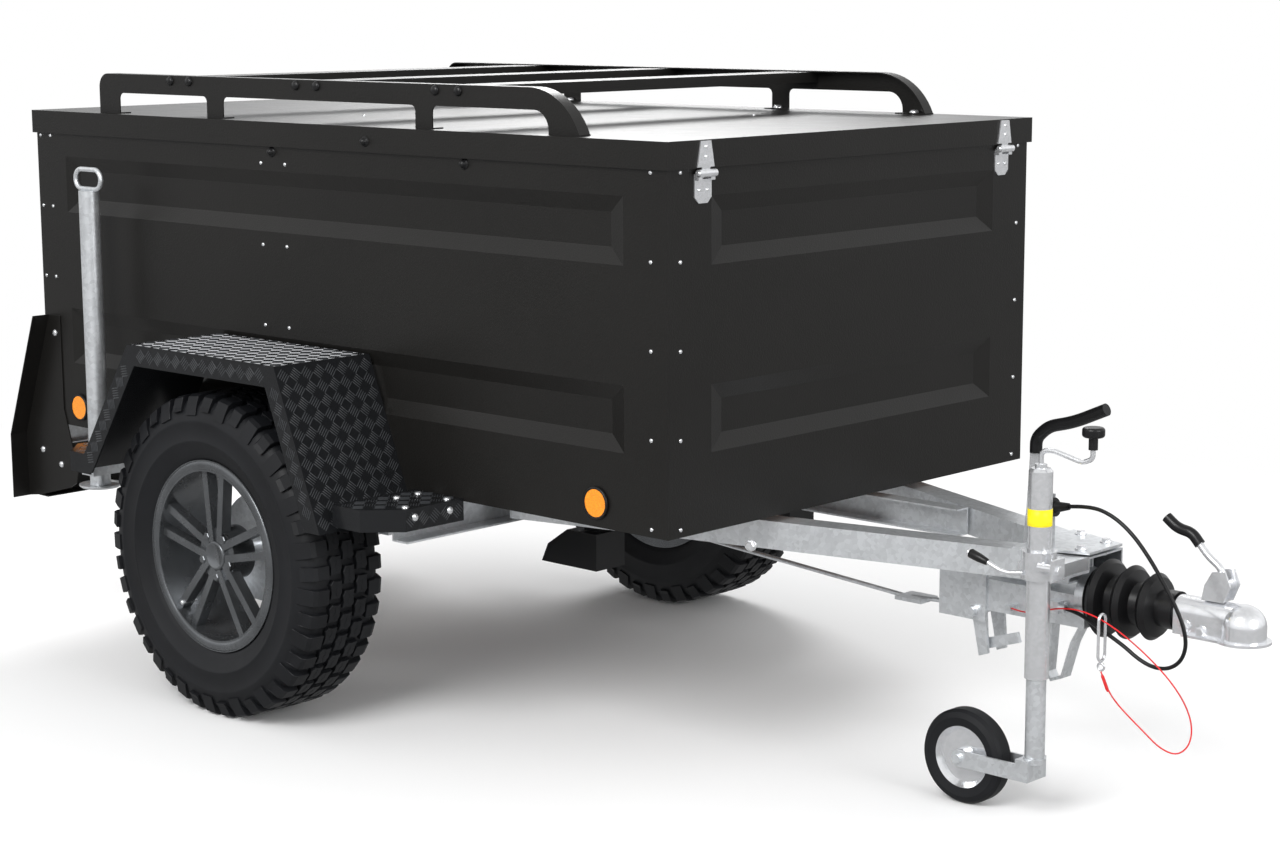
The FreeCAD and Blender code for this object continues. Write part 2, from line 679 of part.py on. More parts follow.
def cross_members():
    """Two channels that carry the floor, the fenders and the steps, and a light one at the rear edge."""
    def channel(name, x, forward):
        web = f"{x} - member_width" if forward else f"{x} + member_width"
        inner = f"{web} + tube_wall" if forward else f"{web} - tube_wall"
        return pad(name, "XZ_Plane",
                   [[(web, "member_low"), (x, "member_low"), (x, "member_low + tube_wall"),
                     (inner, "member_low + tube_wall"), (inner, "box_base - tube_wall"),
                     (x, "box_base - tube_wall"), (x, "box_base"), (web, "box_base")]],
                   "-member_reach", "2 * member_reach")
    front = channel("front_channel", "front_member_x", True)
    rear = channel("rear_channel", "rear_member_x", False)
    low, deep = "member_low + 10", "box_rear + post_depth"
    edge = pad("rear_beam", "XZ_Plane",
               [[("box_rear", low), (deep, low), (deep, low + " + steel"), ("box_rear + steel", low + " + steel"),
                 ("box_rear + steel", "box_base - steel"), (deep, "box_base - steel"),
                 (deep, "box_base"), ("box_rear", "box_base")]],
               "-half_width", "2 * half_width")
    return together("cross_members", front, rear, edge)


node(cross_members(), "cross_members")


def centre_channel():
    """A light channel from the front cross member to the left arm, open to the right."""
    y = "centre_place"
    far = y + " + centre_width"
    low = "centre_top - tube_size"
    high = "centre_top"
    return pad("centre_channel", "YZ_Plane",
               [[(y, low), (far, low), (far, high), (y, high),
                 (y, high + " - tube_wall"), (far + " - tube_wall", high + " - tube_wall"),
                 (far + " - tube_wall", low + " + tube_wall"), (y, low + " + tube_wall")]],
               "front_member_x", "centre_length")


node(centre_channel(), "centre_channel")


def axle_beam():
    x = "axle_x + axle_tube_ahead"
    half = "axle_tube / 2"
    tube = box("axle_square", f"{x} - {half}", "-axle_half_length", f"axle_tube_height - {half}",
               "axle_tube", "2 * axle_half_length", "axle_tube")
    pieces = [tube]
    for side, sign in (("right", "-"), ("left", "")):
        y = "-side_rail_place" if side == "right" else "side_rail_place - side_rail_width"
        top = "member_low"
        pieces.append(box(f"axle_saddle_{side}", f"{x} - 60", y, f"axle_tube_height - {half}",
                          "120", "side_rail_width", f"{top} - axle_tube_height + {half}"))
    return fuse("axle_beam", *pieces)


node(axle_beam(), "axle_beam")


def swing_arm():
    """The right trailing arm of the rubber sprung axle, with its stub axle and brake drum."""
    x = "axle_x + axle_tube_ahead"
    y = "-axle_half_length - arm_thick"
    pivot = cylinder("arm_pivot", "y", x, y, "axle_tube_height", "arm_width / 2 + 6", "arm_thick")
    eye = cylinder("arm_eye", "y", "axle_x", y, "tyre_radius", "arm_width / 2", "arm_thick")
    rear = Vector(size("axle_x"), 0, size("tyre_radius"))
    front = Vector(size("axle_x") + size("axle_tube_ahead"), 0, size("axle_tube_height"))
    run = front - rear
    blade = doc.addObject("Part::Box", "arm_blade")
    tilt = math.degrees(math.atan2(run.z, run.x))
    blade.Placement = Placement(Vector(), Rotation(Vector(0, 1, 0), -tilt))
    bind(blade, Width="arm_thick", Height="arm_width * 0.8")
    blade.Length = run.Length
    drop = size("arm_width") * 0.4
    lean = math.radians(tilt)
    place(blade, f"axle_x + {drop * math.sin(lean):.4f}", y, f"tyre_radius - {drop * math.cos(lean):.4f}")
    drum_in = "-axle_half_length - arm_thick"
    drum = cylinder("arm_drum", "y", "axle_x", "-axle_half_length - arm_thick - drum_depth - 60",
                    "tyre_radius", "drum_radius", "drum_depth")
    neck = cylinder("arm_neck", "y", "axle_x", "-axle_half_length - arm_thick - 61", "tyre_radius",
                    "34", "62")
    stub = cylinder("arm_stub", "y", "axle_x", "-wheel_y - rim_width / 2 + 52", "tyre_radius",
                    "stub_radius", f"wheel_y + rim_width / 2 - 52 + {drum_in} + 10")
    return pair("swing_arms", fuse("swing_arm", pivot, eye, blade, drum, neck, stub))


node(swing_arm(), "swing_arms")


# ---------------------------------------------------------------- wheels
def tyre():
    half = "tyre_width / 2"
    seat = "rim_radius"
    bead = "rim_width / 2 - rim_wall"
    crown = "tyre_radius"
    outline = [(seat, f"-({bead})"), ("rim_lip + 4", f"-({bead})"), ("rim_lip + 30", f"-{half} + 6"),
               ("tyre_radius - 92", f"-{half}"), ("tyre_radius - 46", f"-{half} + 2"),
               ("tyre_radius - 14", f"-{half} + 10"), (crown + " - 4", f"-{half} + 24"), (crown, f"-{half} + 44"),
               (crown, f"{half} - 44"), (crown + " - 4", f"{half} - 24"), ("tyre_radius - 14", f"{half} - 10"),
               ("tyre_radius - 46", f"{half} - 2"), ("tyre_radius - 92", half),
               ("rim_lip + 30", f"{half} - 6"), ("rim_lip + 4", bead), (seat, bead),
               (seat, f"{bead} - 26"), ("rim_lip + 16", f"{half} - 34"), (crown + " - 60", f"{half} - 14"),
               (crown + " - 24", f"{half} - 34"), (crown + " - 24", f"-{half} + 34"),
               (crown + " - 60", f"-{half} + 14"), ("rim_lip + 16", f"-{half} + 34"), (seat, f"-({bead}) + 26")]
    return turned("tyre", "y", "axle_x", "-wheel_y", "tyre_radius", outline)


right_tyre = node(tyre(), "tyre_right")
node(mirrored("tyre_twin", right_tyre), "tyre_left")


def rim():
    """A cast wheel: a barrel with lips, a hub, and five pairs of spokes."""
    half = "rim_width / 2"
    wall = "rim_radius - rim_wall"
    barrel = turned("rim_barrel", "y", "axle_x", "-wheel_y", "tyre_radius",
                    [(wall, f"-{half}"), ("rim_lip", f"-{half}"), ("rim_lip", f"-{half} + rim_wall"),
                     ("rim_radius", f"-{half} + rim_wall"), ("rim_radius", f"{half} - rim_wall"),
                     ("rim_lip", f"{half} - rim_wall"), ("rim_lip", half), (wall, half)])
    face = "-wheel_y - rim_width / 2 + rim_dish"
    hub = cylinder("rim_hub", "y", "axle_x", face + " + 6", "tyre_radius", "hub_radius", "60")
    pieces = [barrel, hub]
    for index in range(5):
        for hand in (-1, 1):
            spoke = doc.addObject("Part::Box", f"rim_spoke_{index}_{hand + 1}")
            around = Rotation(Vector(0, 1, 0), -72 * index - 90)
            root = around.multVec(Vector(size("spoke_root"), 0, hand * size("spoke_spread")))
            turn = around.multiply(Rotation(Vector(0, 1, 0), -hand * size("spoke_splay")))
            shift = root + turn.multVec(Vector(0, 0, -size("spoke_width") / 2))
            spoke.Placement = Placement(Vector(), turn)
            bind(spoke, Length="rim_radius - rim_wall / 2 - spoke_root", Width="spoke_depth", Height="spoke_width")
            place(spoke, f"axle_x + {shift.x:.5f}", face, f"tyre_radius + {shift.z:.5f}")
            pieces.append(spoke)
    bore = cylinder("rim_bore", "y", "axle_x", face + " + 34", "tyre_radius", "stub_radius + pin_play", "60")
    back = cylinder("rim_well", "y", "axle_x", face + " + 46", "tyre_radius", "44", "60")
    return cut("rim", cut("rim_bored", fuse("rim_solid", *pieces), bore), back)


right_rim = node(rim(), "rim_right")
node(mirrored("rim_twin", right_rim), "rim_left")


# ---------------------------------------------------------------- fenders, steps and guards
def fender():
    """A bent tread plate over the right wheel, with a lip turned down along its outer edge."""
    outer = [("axle_x - fender_rear_foot", "fender_rear_low"), ("axle_x - fender_rear_top", "fender_top"),
             ("axle_x + fender_front_top", "fender_top"), ("axle_x + fender_front_foot", "fender_front_low")]

    def inset(by):
        return [(f"axle_x - fender_rear_foot + {by} * 1.2", "fender_rear_low"),
                (f"axle_x - fender_rear_top + {by} * 0.52", f"fender_top - {by}"),
                (f"axle_x + fender_front_top - {by} * 0.68", f"fender_top - {by}"),
                (f"axle_x + fender_front_foot - {by} * 1.08", "fender_front_low")]
    plate = pad("fender_plate", "XZ_Plane", [outer + inset("fender_plate")[::-1]], "half_width",
                "fender_reach")
    lip = pad("fender_lip", "XZ_Plane", [outer + inset("fender_lip")[::-1]],
              "fender_outer - fender_plate", "fender_plate")
    return fuse("fender", plate, lip)


node(pair("fenders", fender()), "fenders")


def step(name, inner_x, outer_x, inwards):
    """A folded step of tread plate at the end of a cross member.

    `inwards` is the sign of the way from the step's outer edge to the wheel.
    """
    y_in, y_out = "-half_width", "-half_width - step_reach"
    low = "step_top - step_height"
    block = pad(name + "_block", "XY_Plane",
                [[(inner_x, y_in), (outer_x, y_in), (outer_x, f"{y_out} + step_corner"),
                  (f"{outer_x} {inwards} step_corner", y_out), (inner_x, y_out)]], low, "step_height")
    deep_x = f"{outer_x} {inwards} fender_plate"
    deep_y = f"{y_out} + fender_plate"
    hollow = pad(name + "_hollow", "XY_Plane",
                 [[(f"{inner_x} {inwards} 1", y_in + " + 1"), (deep_x, y_in + " + 1"),
                   (deep_x, f"{y_out} + step_corner + fender_plate * 0.4"),
                   (f"{outer_x} {inwards} step_corner {inwards} fender_plate * 0.4", deep_y),
                   (f"{inner_x} {inwards} 1", deep_y)]],
                 low + " - 1", "step_height + 1 - fender_plate")
    return cut(name, block, hollow)


def steps():
    front = step("front_step", "axle_x + fender_front_foot + 2", "axle_x + step_front", "-")
    rear = step("rear_step", "axle_x - fender_rear_foot - 2", "axle_x - step_rear", "+")
    notch = box("rear_step_notch", "axle_x - step_rear - 1", "-stand_y - 24", "member_low - 1",
                "fender_plate + 2", "48", "clamp_height + 2")
    notched = cut("rear_step_notched", rear, notch)
    right = together("right_steps", front, notched)
    return together("steps", front, notched, mirrored("left_steps", right))


node(steps(), "fender_steps")


def light_guard():
    """A plate beside the right rear corner with its rear edge turned outwards."""
    rear = "box_rear - guard_reach"
    outline = [("box_rear + guard_head", "guard_top"), ("box_rear + guard_head + 52", "guard_top"),
               ("box_rear + guard_head + 52", "guard_knee + 80"), ("box_rear + guard_front", "guard_low + 90"),
               ("box_rear + guard_front - 10", "guard_low + 58"), ("box_rear + guard_front - 36", "guard_low + 44"),
               (rear + " + 56", "guard_low + 8"), (rear, "guard_low"), (rear, "guard_knee")]
    plate = pad("guard_plate", "XZ_Plane", [outline], "half_width", "steel")
    flange = pad("guard_flange", "XZ_Plane",
                 [[("box_rear + guard_head", "guard_top"), ("box_rear + guard_head + steel * 1.14", "guard_top"),
                   (rear + " + steel", "guard_knee"), (rear + " + steel", "guard_low"),
                   (rear, "guard_low"), (rear, "guard_knee")]], "half_width", "guard_flange")
    return pair("light_guards", fuse("light_guard", plate, flange))


node(light_guard(), "light_guards")


def light_board():
    """A folded board between the guards that carries the rear lamps."""
    face = "box_rear - guard_reach + board_setback"
    deep = face + " + board_fold"
    top = "board_low + board_height"
    return pad("light_board", "XZ_Plane",
               [[(face, "board_low"), (deep, "board_low"), (deep, "board_low + steel"),
                 (face + " + steel", "board_low + steel"), (face + " + steel", top + " - steel"),
                 (deep, top + " - steel"), (deep, top), (face, top)]],
               "-half_width", "2 * half_width")


node(light_board(), "light_board")


def tail_lamps():
    face = "box_rear - guard_reach + board_setback - lamp_depth"
    lamp = box("lamp", face, "-lamp_place - lamp_length / 2", "board_low + (board_height - lamp_height) / 2",
               "lamp_depth", "lamp_length", "lamp_height")
    soft = doc.addObject("Part::Fillet", "lamp_soft")
    doc.recompute()
    soft.Base = lamp
    rim_edges = [index + 1 for index, edge in enumerate(lamp.Shape.Edges)
                 if abs(edge.CenterOfMass.x - lamp.Shape.BoundBox.XMin) < 0.1]
    soft.Edges = [(index, 8, 8) for index in rim_edges]
    return pair("tail_lamps", soft)


node(tail_lamps(), "tail_lamps")


def reflectors():
    """Round side reflectors, front and rear, on both sides."""
    discs = []
    for name, x in (("front", "box_front - 198"), ("rear", "box_rear + 142")):
        discs.append(cylinder(f"reflector_{name}", "y", x, "-half_width - 6", "box_base + 51", "30", "6"))
    right = together("right_reflectors", *discs)
    return together("reflectors", *discs, mirrored("left_reflectors", right))


node(reflectors(), "side_reflectors")


# ---------------------------------------------------------------- prop stands
def prop_stand():
    """A tube with a foot and an oval grip, which slides down through its clamp."""
    x, y = "stand_x", "-stand_y"
    tube = cylinder("stand_bar", "z", x, y, "stand_low + 6", "stand_tube", "stand_top - stand_low - 6")
    hollow = cylinder("stand_hollow", "z", x, y, "stand_low + 40", "stand_tube - stand_wall",
                      "stand_top - stand_low - 80")
    foot = turned("stand_foot", "z", x, y, "0",
                  [("0", "stand_low"), ("stand_foot - 6", "stand_low"), ("stand_foot", "stand_low + 5"),
                   ("stand_foot", "stand_low + 8"), ("stand_foot - 5", "stand_low + 8"),
                   ("stand_foot - 9", "stand_low + 5"), ("0", "stand_low + 5")])
    centre = Vector(size("stand_x"), -size("stand_y"), size("stand_top") + size("handle_height") / 2 - 2)
    half_wide, half_tall = size("handle_width") / 2, size("handle_height") / 2
    radius = size("handle_rod")
    straight = half_wide - half_tall
    ring = []
    for sign in (1, -1):
        line = Part.makeCylinder(radius, 2 * straight, centre + Vector(-straight, 0, sign * (half_tall - radius)),
                                 Vector(1, 0, 0))
        turn = Part.makeTorus(half_tall - radius, radius, centre + Vector(sign * straight, 0, 0), Vector(0, 1, 0))
        keep = Part.makeBox(2 * half_tall, 4 * radius, 2 * half_wide,
                            centre + Vector(straight if sign > 0 else -straight - 2 * half_tall,
                                            -2 * radius, -half_wide))
        ring += [line, turn.common(keep)]
    grip = feature("stand_grip", ring[0].multiFuse(ring[1:]))
    return fuse("prop_stand", cut("stand_pipe", tube, hollow), foot, grip)


right_stand = node(prop_stand(), "prop_stand_right")
node(mirrored("stand_twin", right_stand), "prop_stand_left")


def stand_clamp():
    """The sleeve that holds the stand, on a bracket at the end of the rear cross member."""
    sleeve = cylinder("clamp_sleeve", "z", "stand_x", "-stand_y", "member_low",
                      "stand_tube + slide_play + clamp_wall", "clamp_height")
    bracket = box("clamp_bracket", "stand_x", "-stand_y - 22", "member_low",
                  "rear_member_x - stand_x", "44", "clamp_height")
    screw = cylinder("clamp_screw", "y", "stand_x", "-stand_y - 62", "member_low + clamp_height / 2", "6", "32")
    bore = cylinder("clamp_bore", "z", "stand_x", "-stand_y", "member_low - 1",
                    "stand_tube + slide_play", "clamp_height + 2")
    return pair("stand_clamps", cut("stand_clamp", fuse("clamp_solid", sleeve, bracket, screw), bore))


node(stand_clamp(), "stand_clamps")


# ---------------------------------------------------------------- overrun device and coupling
def overrun_housing():
    """The channel of the overrun device, the head plates that join the rails to it, and a collar."""
    body = box("housing_block", "housing_rear", "-housing_half", "housing_low",
               "housing_front - housing_rear", "2 * housing_half", "housing_top - housing_low")
    hollow = box("housing_hollow", "housing_rear - 1", "-housing_half + 5", "housing_low - 1",
                 "housing_front - housing_rear - 22", "2 * housing_half - 10",
                 "housing_top - housing_low - 4")
    collar = cylinder("housing_collar", "x", "housing_front - collar_length", "0", "coupling_height",
                      "bellows_radius - 24", "collar_length")
    bore = cylinder("housing_bore", "x", "housing_front - collar_length - 1", "0", "coupling_height",
                    "shaft_radius + fit_gap", "collar_length + 2")
    cheek_top = "box_base - drawbar_drop - tube_size"
    cheeks = []
    for side, y in (("right", "-housing_half - 6"), ("left", "housing_half")):
        cheeks.append(box(f"housing_cheek_{side}", "housing_rear - 112", y, "housing_low - 24",
                          "118", "6", f"{cheek_top} - housing_low + 30"))
    web = box("housing_web", "housing_rear + 20", "-18", "housing_top - 2", "120", "36",
              f"{cheek_top} - housing_top + 2")
    top = pad("head_plate", "XY_Plane",
              [[("drawbar_end - head_plate_length", "-drawbar_half_front - head_plate_length * drawbar_slope + 2"),
                ("drawbar_end", "-drawbar_half_front + 2"), ("drawbar_end", "drawbar_half_front - 2"),
                ("drawbar_end - head_plate_length", "drawbar_half_front + head_plate_length * drawbar_slope - 2")]],
              "box_base - drawbar_drop + 4", "head_plate")
    post = box("plug_post", "jockey_x - 64", "-78", "box_base - drawbar_drop + 4", "24", "3", "118")
    shaft_hole = cylinder("housing_shaft_hole", "y", "housing_rear - 24", "-housing_half - 10", "housing_low - 6",
                          "brake_shaft", "2 * housing_half + 20")
    solid = fuse("housing_solid", cut("housing_shell", body, hollow), collar, web, *cheeks)
    shell = cut("housing", solid, fuse("housing_holes", bore, shaft_hole))
    return together("overrun_housing", shell, fuse("head_plate_post", top, post))


node(overrun_housing(), "overrun_housing")


def bellows():
    """A rubber boot with three folds between the collar and the coupling."""
    length = "(bellows_front - bellows_rear)"
    low = "shaft_radius + 3"
    outline = [(low, "0"), ("bellows_radius - 20", "0")]
    for index, shrink in enumerate((0, 5, 12)):
        start = f"{length} * {0.03 + 0.29 * index:.3f}"
        peak = f"bellows_radius - {shrink}"
        outline += [(peak + " - 26", start), (peak + " - 8", f"{start} + 8"), (peak, f"{start} + 18"),
                    (peak + " - 8", f"{start} + 28"), (peak + " - 30", f"{start} + 36")]
    outline += [("shaft_radius + 14", f"{length} * 0.9"), ("shaft_radius + 14", length), (low, length)]
    boot = turned("boot", "x", "bellows_rear", "0", "coupling_height", outline)
    return boot


node(bellows(), "bellows")


def coupling_head():
    """A pressed ball coupling: a shank round the draw tube, a body and a dome over the ball."""
    shaft = cylinder("draw_tube", "x", "bellows_rear - 10", "0", "coupling_height", "shaft_radius",
                     "bellows_front - bellows_rear + 60")
    low = "coupling_height - 38"
    shank = box("head_shank", "bellows_front + 4", "-shank_half", low,
                "ball_x - bellows_front - 4", "2 * shank_half", "42")
    crown = cylinder("head_crown", "x", "bellows_front + 4", "0", "coupling_height + 4", "shank_half",
                     "ball_x - bellows_front - 4")
    skirt = cylinder("head_skirt", "z", "ball_x", "0", low, "dome_radius", "30")
    dome = doc.addObject("Part::Ellipsoid", "head_dome")
    bind(dome, Radius1="dome_radius", Radius2="dome_radius", Radius3="dome_radius", Angle1="0", Angle2="90")
    place(dome, "ball_x", "0", low + " + 30")
    lip = cylinder("head_lip", "z", "ball_x", "0", low, "nose - ball_x", "lip")
    rim = box("head_rim", "bellows_front + 30", "-dome_radius", low, "ball_x - bellows_front - 30",
              "2 * dome_radius", "lip")
    socket = doc.addObject("Part::Sphere", "head_socket")
    bind(socket, Radius="ball_radius + 0.5")
    place(socket, "ball_x", "0", "coupling_height - 14")
    mouth = cylinder("head_mouth", "z", "ball_x", "0", "coupling_height - 60",
                     "ball_radius + 0.5", "46")
    under = box("head_under", "bellows_front + 60", "-25", "coupling_height - 60",
                "ball_x - bellows_front - 60", "50", "46")
    tools = fuse("head_tools", socket, mouth, under)
    solid = fuse("head_solid", shaft, shank, crown, skirt, dome, lip, rim)
    return cut("coupling_head", solid, tools)


node(coupling_head(), "coupling_head")


def coupling_handle():
    """The release handle over the dome: a bent steel frame and a rubber grip on its arm."""
    x = size("ball_x")
    z = size("coupling_height") + 36
    cheek = Part.makePolygon([Vector(x - 84, 0, z), Vector(x - 36, 0, z), Vector(x - 22, 0, z + 34),
                              Vector(x - 34, 0, z + 62), Vector(x - 62, 0, z + 58), Vector(x - 78, 0, z + 30),
                              Vector(x - 84, 0, z)])
    blade = Part.Face(cheek).extrude(Vector(0, 4, 0))
    right = blade.translated(Vector(0, -20, 0))
    left = blade.translated(Vector(0, 16, 0))
    foot = Part.makeBox(44, 40, 4, Vector(x - 82, -20, z))
    arm_route = [Vector(x - 44, 0, z + 30), Vector(x - 52, 0, z + 62), Vector(x - 84, 0, z + 84),
                 Vector(x - 102, 0, z + 104)]
    arm = bent_bar(arm_route, 7)
    hub = Part.makeCylinder(11, 32, Vector(x - 44, -16, z + 30), Vector(0, 1, 0))
    frame = right.multiFuse([left, foot, arm, hub])
    start = arm_route[-1]
    grip_route = [start, start + Vector(-18, 0, 20), start + Vector(-52, 0, 26), start + Vector(-76, 0, 44)]
    return feature("release_frame", frame), feature("release_grip", bent_bar(grip_route, 11))


release_frame, release_grip = coupling_handle()
node(release_frame, "coupling_handle")
node(release_grip, "coupling_grip")


def handbrake():
    """The parking brake lever: a flat arm that rises from the centre channel and a bent grip."""
    base = Vector(size("housing_rear") + 49, size("housing_half") - 8, size("housing_top"))
    arm_side = Part.makePolygon([base + Vector(-28, 0, 0), base + Vector(36, 0, 0), base + Vector(24, 0, 140),
                                 base + Vector(16, 0, 258), base + Vector(-8, 0, 258),
                                 base + Vector(-14, 0, 140), base + Vector(-28, 0, 0)])
    arm = Part.Face(arm_side).extrude(Vector(0, 8, 0))
    grip_route = [base + Vector(4, 4, 258), base + Vector(4, 4, 288), base + Vector(34, 4, 316),
                  base + Vector(96, 4, 332), base + Vector(172, 4, 366)]
    return feature("brake_arm", arm), feature("brake_grip", bent_bar(grip_route, 13))


brake_arm, brake_grip = handbrake()
node(brake_arm, "handbrake_lever")
node(brake_grip, "handbrake_grip")


def brake_linkage():
    """Shaft and levers behind the overrun housing, the equaliser and the pull rod."""
    rear = size("housing_rear") - 24
    low = size("housing_low")
    shaft = Part.makeCylinder(size("brake_shaft"), 2 * size("housing_half") + 40,
                              Vector(rear, -size("housing_half") - 20, low - 6), Vector(0, 1, 0))
    lever_side = Part.makePolygon([Vector(rear - 20, 0, low + 8), Vector(rear + 18, 0, low + 8),
                                   Vector(rear + 26, 0, low - 96), Vector(rear + 4, 0, low - 104),
                                   Vector(rear - 20, 0, low + 8)])
    pieces = [shaft]
    for y in (-40, 24):
        pieces.append(Part.Face(lever_side).extrude(Vector(0, 8, 0)).translated(Vector(0, y, 0)))
    link = Part.makeBox(90, 10, 22, Vector(rear + 6, -26, low - 92))
    link.rotate(Vector(rear + 6, -21, low - 81), Vector(0, 1, 0), -18)
    pieces.append(link)
    bar = Part.makeCylinder(5, 190, Vector(rear - 200, 0, low - 18), Vector(1, 0, 0.06))
    yoke = Part.makeBox(70, 60, 8, Vector(rear - 225, -30, low - 22))
    pieces += [bar, yoke]
    return feature("linkage", pieces[0].multiFuse(pieces[1:]))


def brake_rod():
    """The long rod from the equaliser back to the axle."""
    front = Vector(size("housing_rear") - 24 - 226, 0, size("housing_low") - 18)
    rear = Vector(size("axle_x") + size("axle_tube_ahead") + size("axle_tube") / 2 + 2, 0,
                  size("axle_tube_height"))
    run = front - rear
    return feature("brake_rod", Part.makeCylinder(5, run.Length, rear, run))


node(together("brake_gear", brake_linkage(), brake_rod()), "brake_linkage")


def safety_strap():
    """A flat steel loop that hangs under the nose of the overrun device."""
    x = size("housing_front") - 16
    z = size("housing_low")
    wide = 30
    outer = [Vector(x, 0, z), Vector(x - 20, 0, z - 40), Vector(x - 42, 0, z - 116),
             Vector(x - 72, 0, z - 128), Vector(x - 84, 0, z - 110), Vector(x - 76, 0, z)]
    inner = [Vector(x - 6, 0, z), Vector(x - 26, 0, z - 38), Vector(x - 47, 0, z - 111),
             Vector(x - 71, 0, z - 121), Vector(x - 78, 0, z - 108), Vector(x - 70, 0, z)]
    face = Part.Face(Part.makePolygon(outer + inner[::-1] + outer[:1]))
    strap = face.extrude(Vector(0, wide, 0)).translated(Vector(0, -wide / 2 - 20, 0))
    return feature("safety_strap", strap)


node(safety_strap(), "safety_strap")


# ---------------------------------------------------------------- jockey wheel
def jockey_clamp():
    """A clamp round the jockey tube, bolted to the drawbar's right arm."""
    x, y = "jockey_x", "-jockey_y"
    sleeve = cylinder("jockey_sleeve", "z", x, y, "jockey_clamp_low",
                      "jockey_tube + slide_play + 11", "jockey_clamp_height")
    rear_x, front_x = "jockey_x - 50", "drawbar_end"
    bracket = pad("jockey_bracket", "XY_Plane",
                  [[(rear_x, "-jockey_y"), (front_x, "-jockey_y"), (front_x, "-drawbar_half_front"),
                    (rear_x, f"-drawbar_half_front - (drawbar_end - ({rear_x})) * drawbar_slope")]],
                  "jockey_clamp_low", "jockey_clamp_height - 30")
    bore = cylinder("jockey_bore", "z", x, y, "jockey_clamp_low - 1", "jockey_tube + slide_play",
                    "jockey_clamp_height + 2")
    screw = cylinder("jockey_screw", "x", "jockey_x + 20", "-jockey_y - 30", "jockey_clamp_low + 30", "8", "44")
    return cut("jockey_clamp", fuse("jockey_grip", sleeve, bracket, screw), bore)


node(jockey_clamp(), "jockey_clamp")


def jockey_lever():
    """The clamp's locking lever with its black tip."""
    z = size("jockey_clamp_low") + 14
    start = Vector(size("jockey_x") - 14, -size("jockey_y") - 34, z)
    lever_route = [start, start + Vector(-38, -10, -4), start + Vector(-76, -12, 12)]
    handle = bent_bar(lever_route, 5)
    tip = Part.makeCone(6, 9, 46, lever_route[-1] - Vector(1, 0, 0), Vector(-1, 0, 0.3))
    sleeve = size("jockey_tube") + size("slide_play") + 11.3
    room = Part.makeCylinder(sleeve, 60, Vector(size("jockey_x"), -size("jockey_y"), z - 30))
    return feature("jockey_lever", handle.fuse(tip).cut(room))


node(jockey_lever(), "jockey_lever")


def jockey_tube():
    x, y = "jockey_x", "-jockey_y"
    wall = "jockey_tube - jockey_wall"
    outer = turned("jockey_pipe", "z", x, y, "0",
                   [("jockey_tube", "jockey_low"), ("jockey_tube", "jockey_top - 6"),
                    ("jockey_tube - 5", "jockey_top"), ("0", "jockey_top"), ("0", "jockey_top - 40"),
                    (wall, "jockey_top - 44"), (wall, "jockey_low")])
    return outer


node(jockey_tube(), "jockey_tube")


def jockey_crank():
    """The spindle's crank and its black knob."""
    top = Vector(size("jockey_x"), -size("jockey_y"), size("jockey_top"))
    boss = Part.makeCylinder(12, 8, top, Vector(0, 0, 1))
    rod_route = [top + Vector(0, 0, 6), top + Vector(0, 0, 34), top + Vector(26, 0, 38),
                 top + Vector(96, 0, 22), top + Vector(118, 0, 32), top + Vector(118, 0, 50)]
    post = Part.makeCylinder(9, 26, rod_route[-1], Vector(0, 0, 1))
    cap = Part.makeCylinder(22, 20, rod_route[-1] + Vector(0, 0, 24), Vector(0, 0, 1))
    cap = cap.makeFillet(6, [edge for edge in cap.Edges if edge.Curve.TypeId == "Part::GeomCircle"])
    return (feature("jockey_crank", boss.fuse(bent_bar(rod_route, 5))),
            feature("jockey_knob", post.fuse(cap)))


jockey_crank_rod, jockey_knob = jockey_crank()
node(jockey_crank_rod, "jockey_crank")
node(jockey_knob, "jockey_knob")


def jockey_leg():
    """The inner tube, closed at its foot, with a socket for the fork's spigot."""
    x, y = size("jockey_x"), -size("jockey_y")
    foot = size("jockey_wheel") + 30
    tube = Part.makeCylinder(size("jockey_inner"), size("jockey_low") + 230 - foot, Vector(x, y, foot))
    socket = Part.makeCylinder(size("jockey_hub") + size("pin_play"), 46, Vector(x, y, foot - 1))
    return feature("jockey_leg", tube.cut(socket))


node(jockey_leg(), "jockey_leg")


def jockey_fork():
    """The swivelling fork with its spigot and the wheel's axle."""
    x, y = size("jockey_x"), -size("jockey_y")
    axle_z = size("jockey_wheel")
    wheel_x = size("caster_x")
    gap = size("jockey_wheel_width") / 2 + 5
    pieces = []
    for sign in (-1, 1):
        cheek_y = y + sign * gap - 2.5
        pieces.append(Part.makeBox(x - wheel_x + 4, 5, 34, Vector(wheel_x, cheek_y, axle_z - 17)))
        pieces.append(Part.makeCylinder(17, 5, Vector(wheel_x, cheek_y, axle_z), Vector(0, 1, 0)))
    yoke = Part.makeBox(30, 2 * gap + 5, 44, Vector(x - 24, y - gap - 2.5, axle_z - 17))
    cap = Part.makeCylinder(size("jockey_inner") + 3, 12, Vector(x, y, axle_z + 17.5))
    spigot = Part.makeCylinder(size("jockey_hub"), 56, Vector(x, y, axle_z + 16))
    axle = Part.makeCylinder(size("jockey_hub"), 2 * gap + 20, Vector(wheel_x, y - gap - 10, axle_z),
                             Vector(0, 1, 0))
    return feature("jockey_fork", yoke.multiFuse(pieces + [cap, spigot, axle]))


node(jockey_fork(), "jockey_fork")


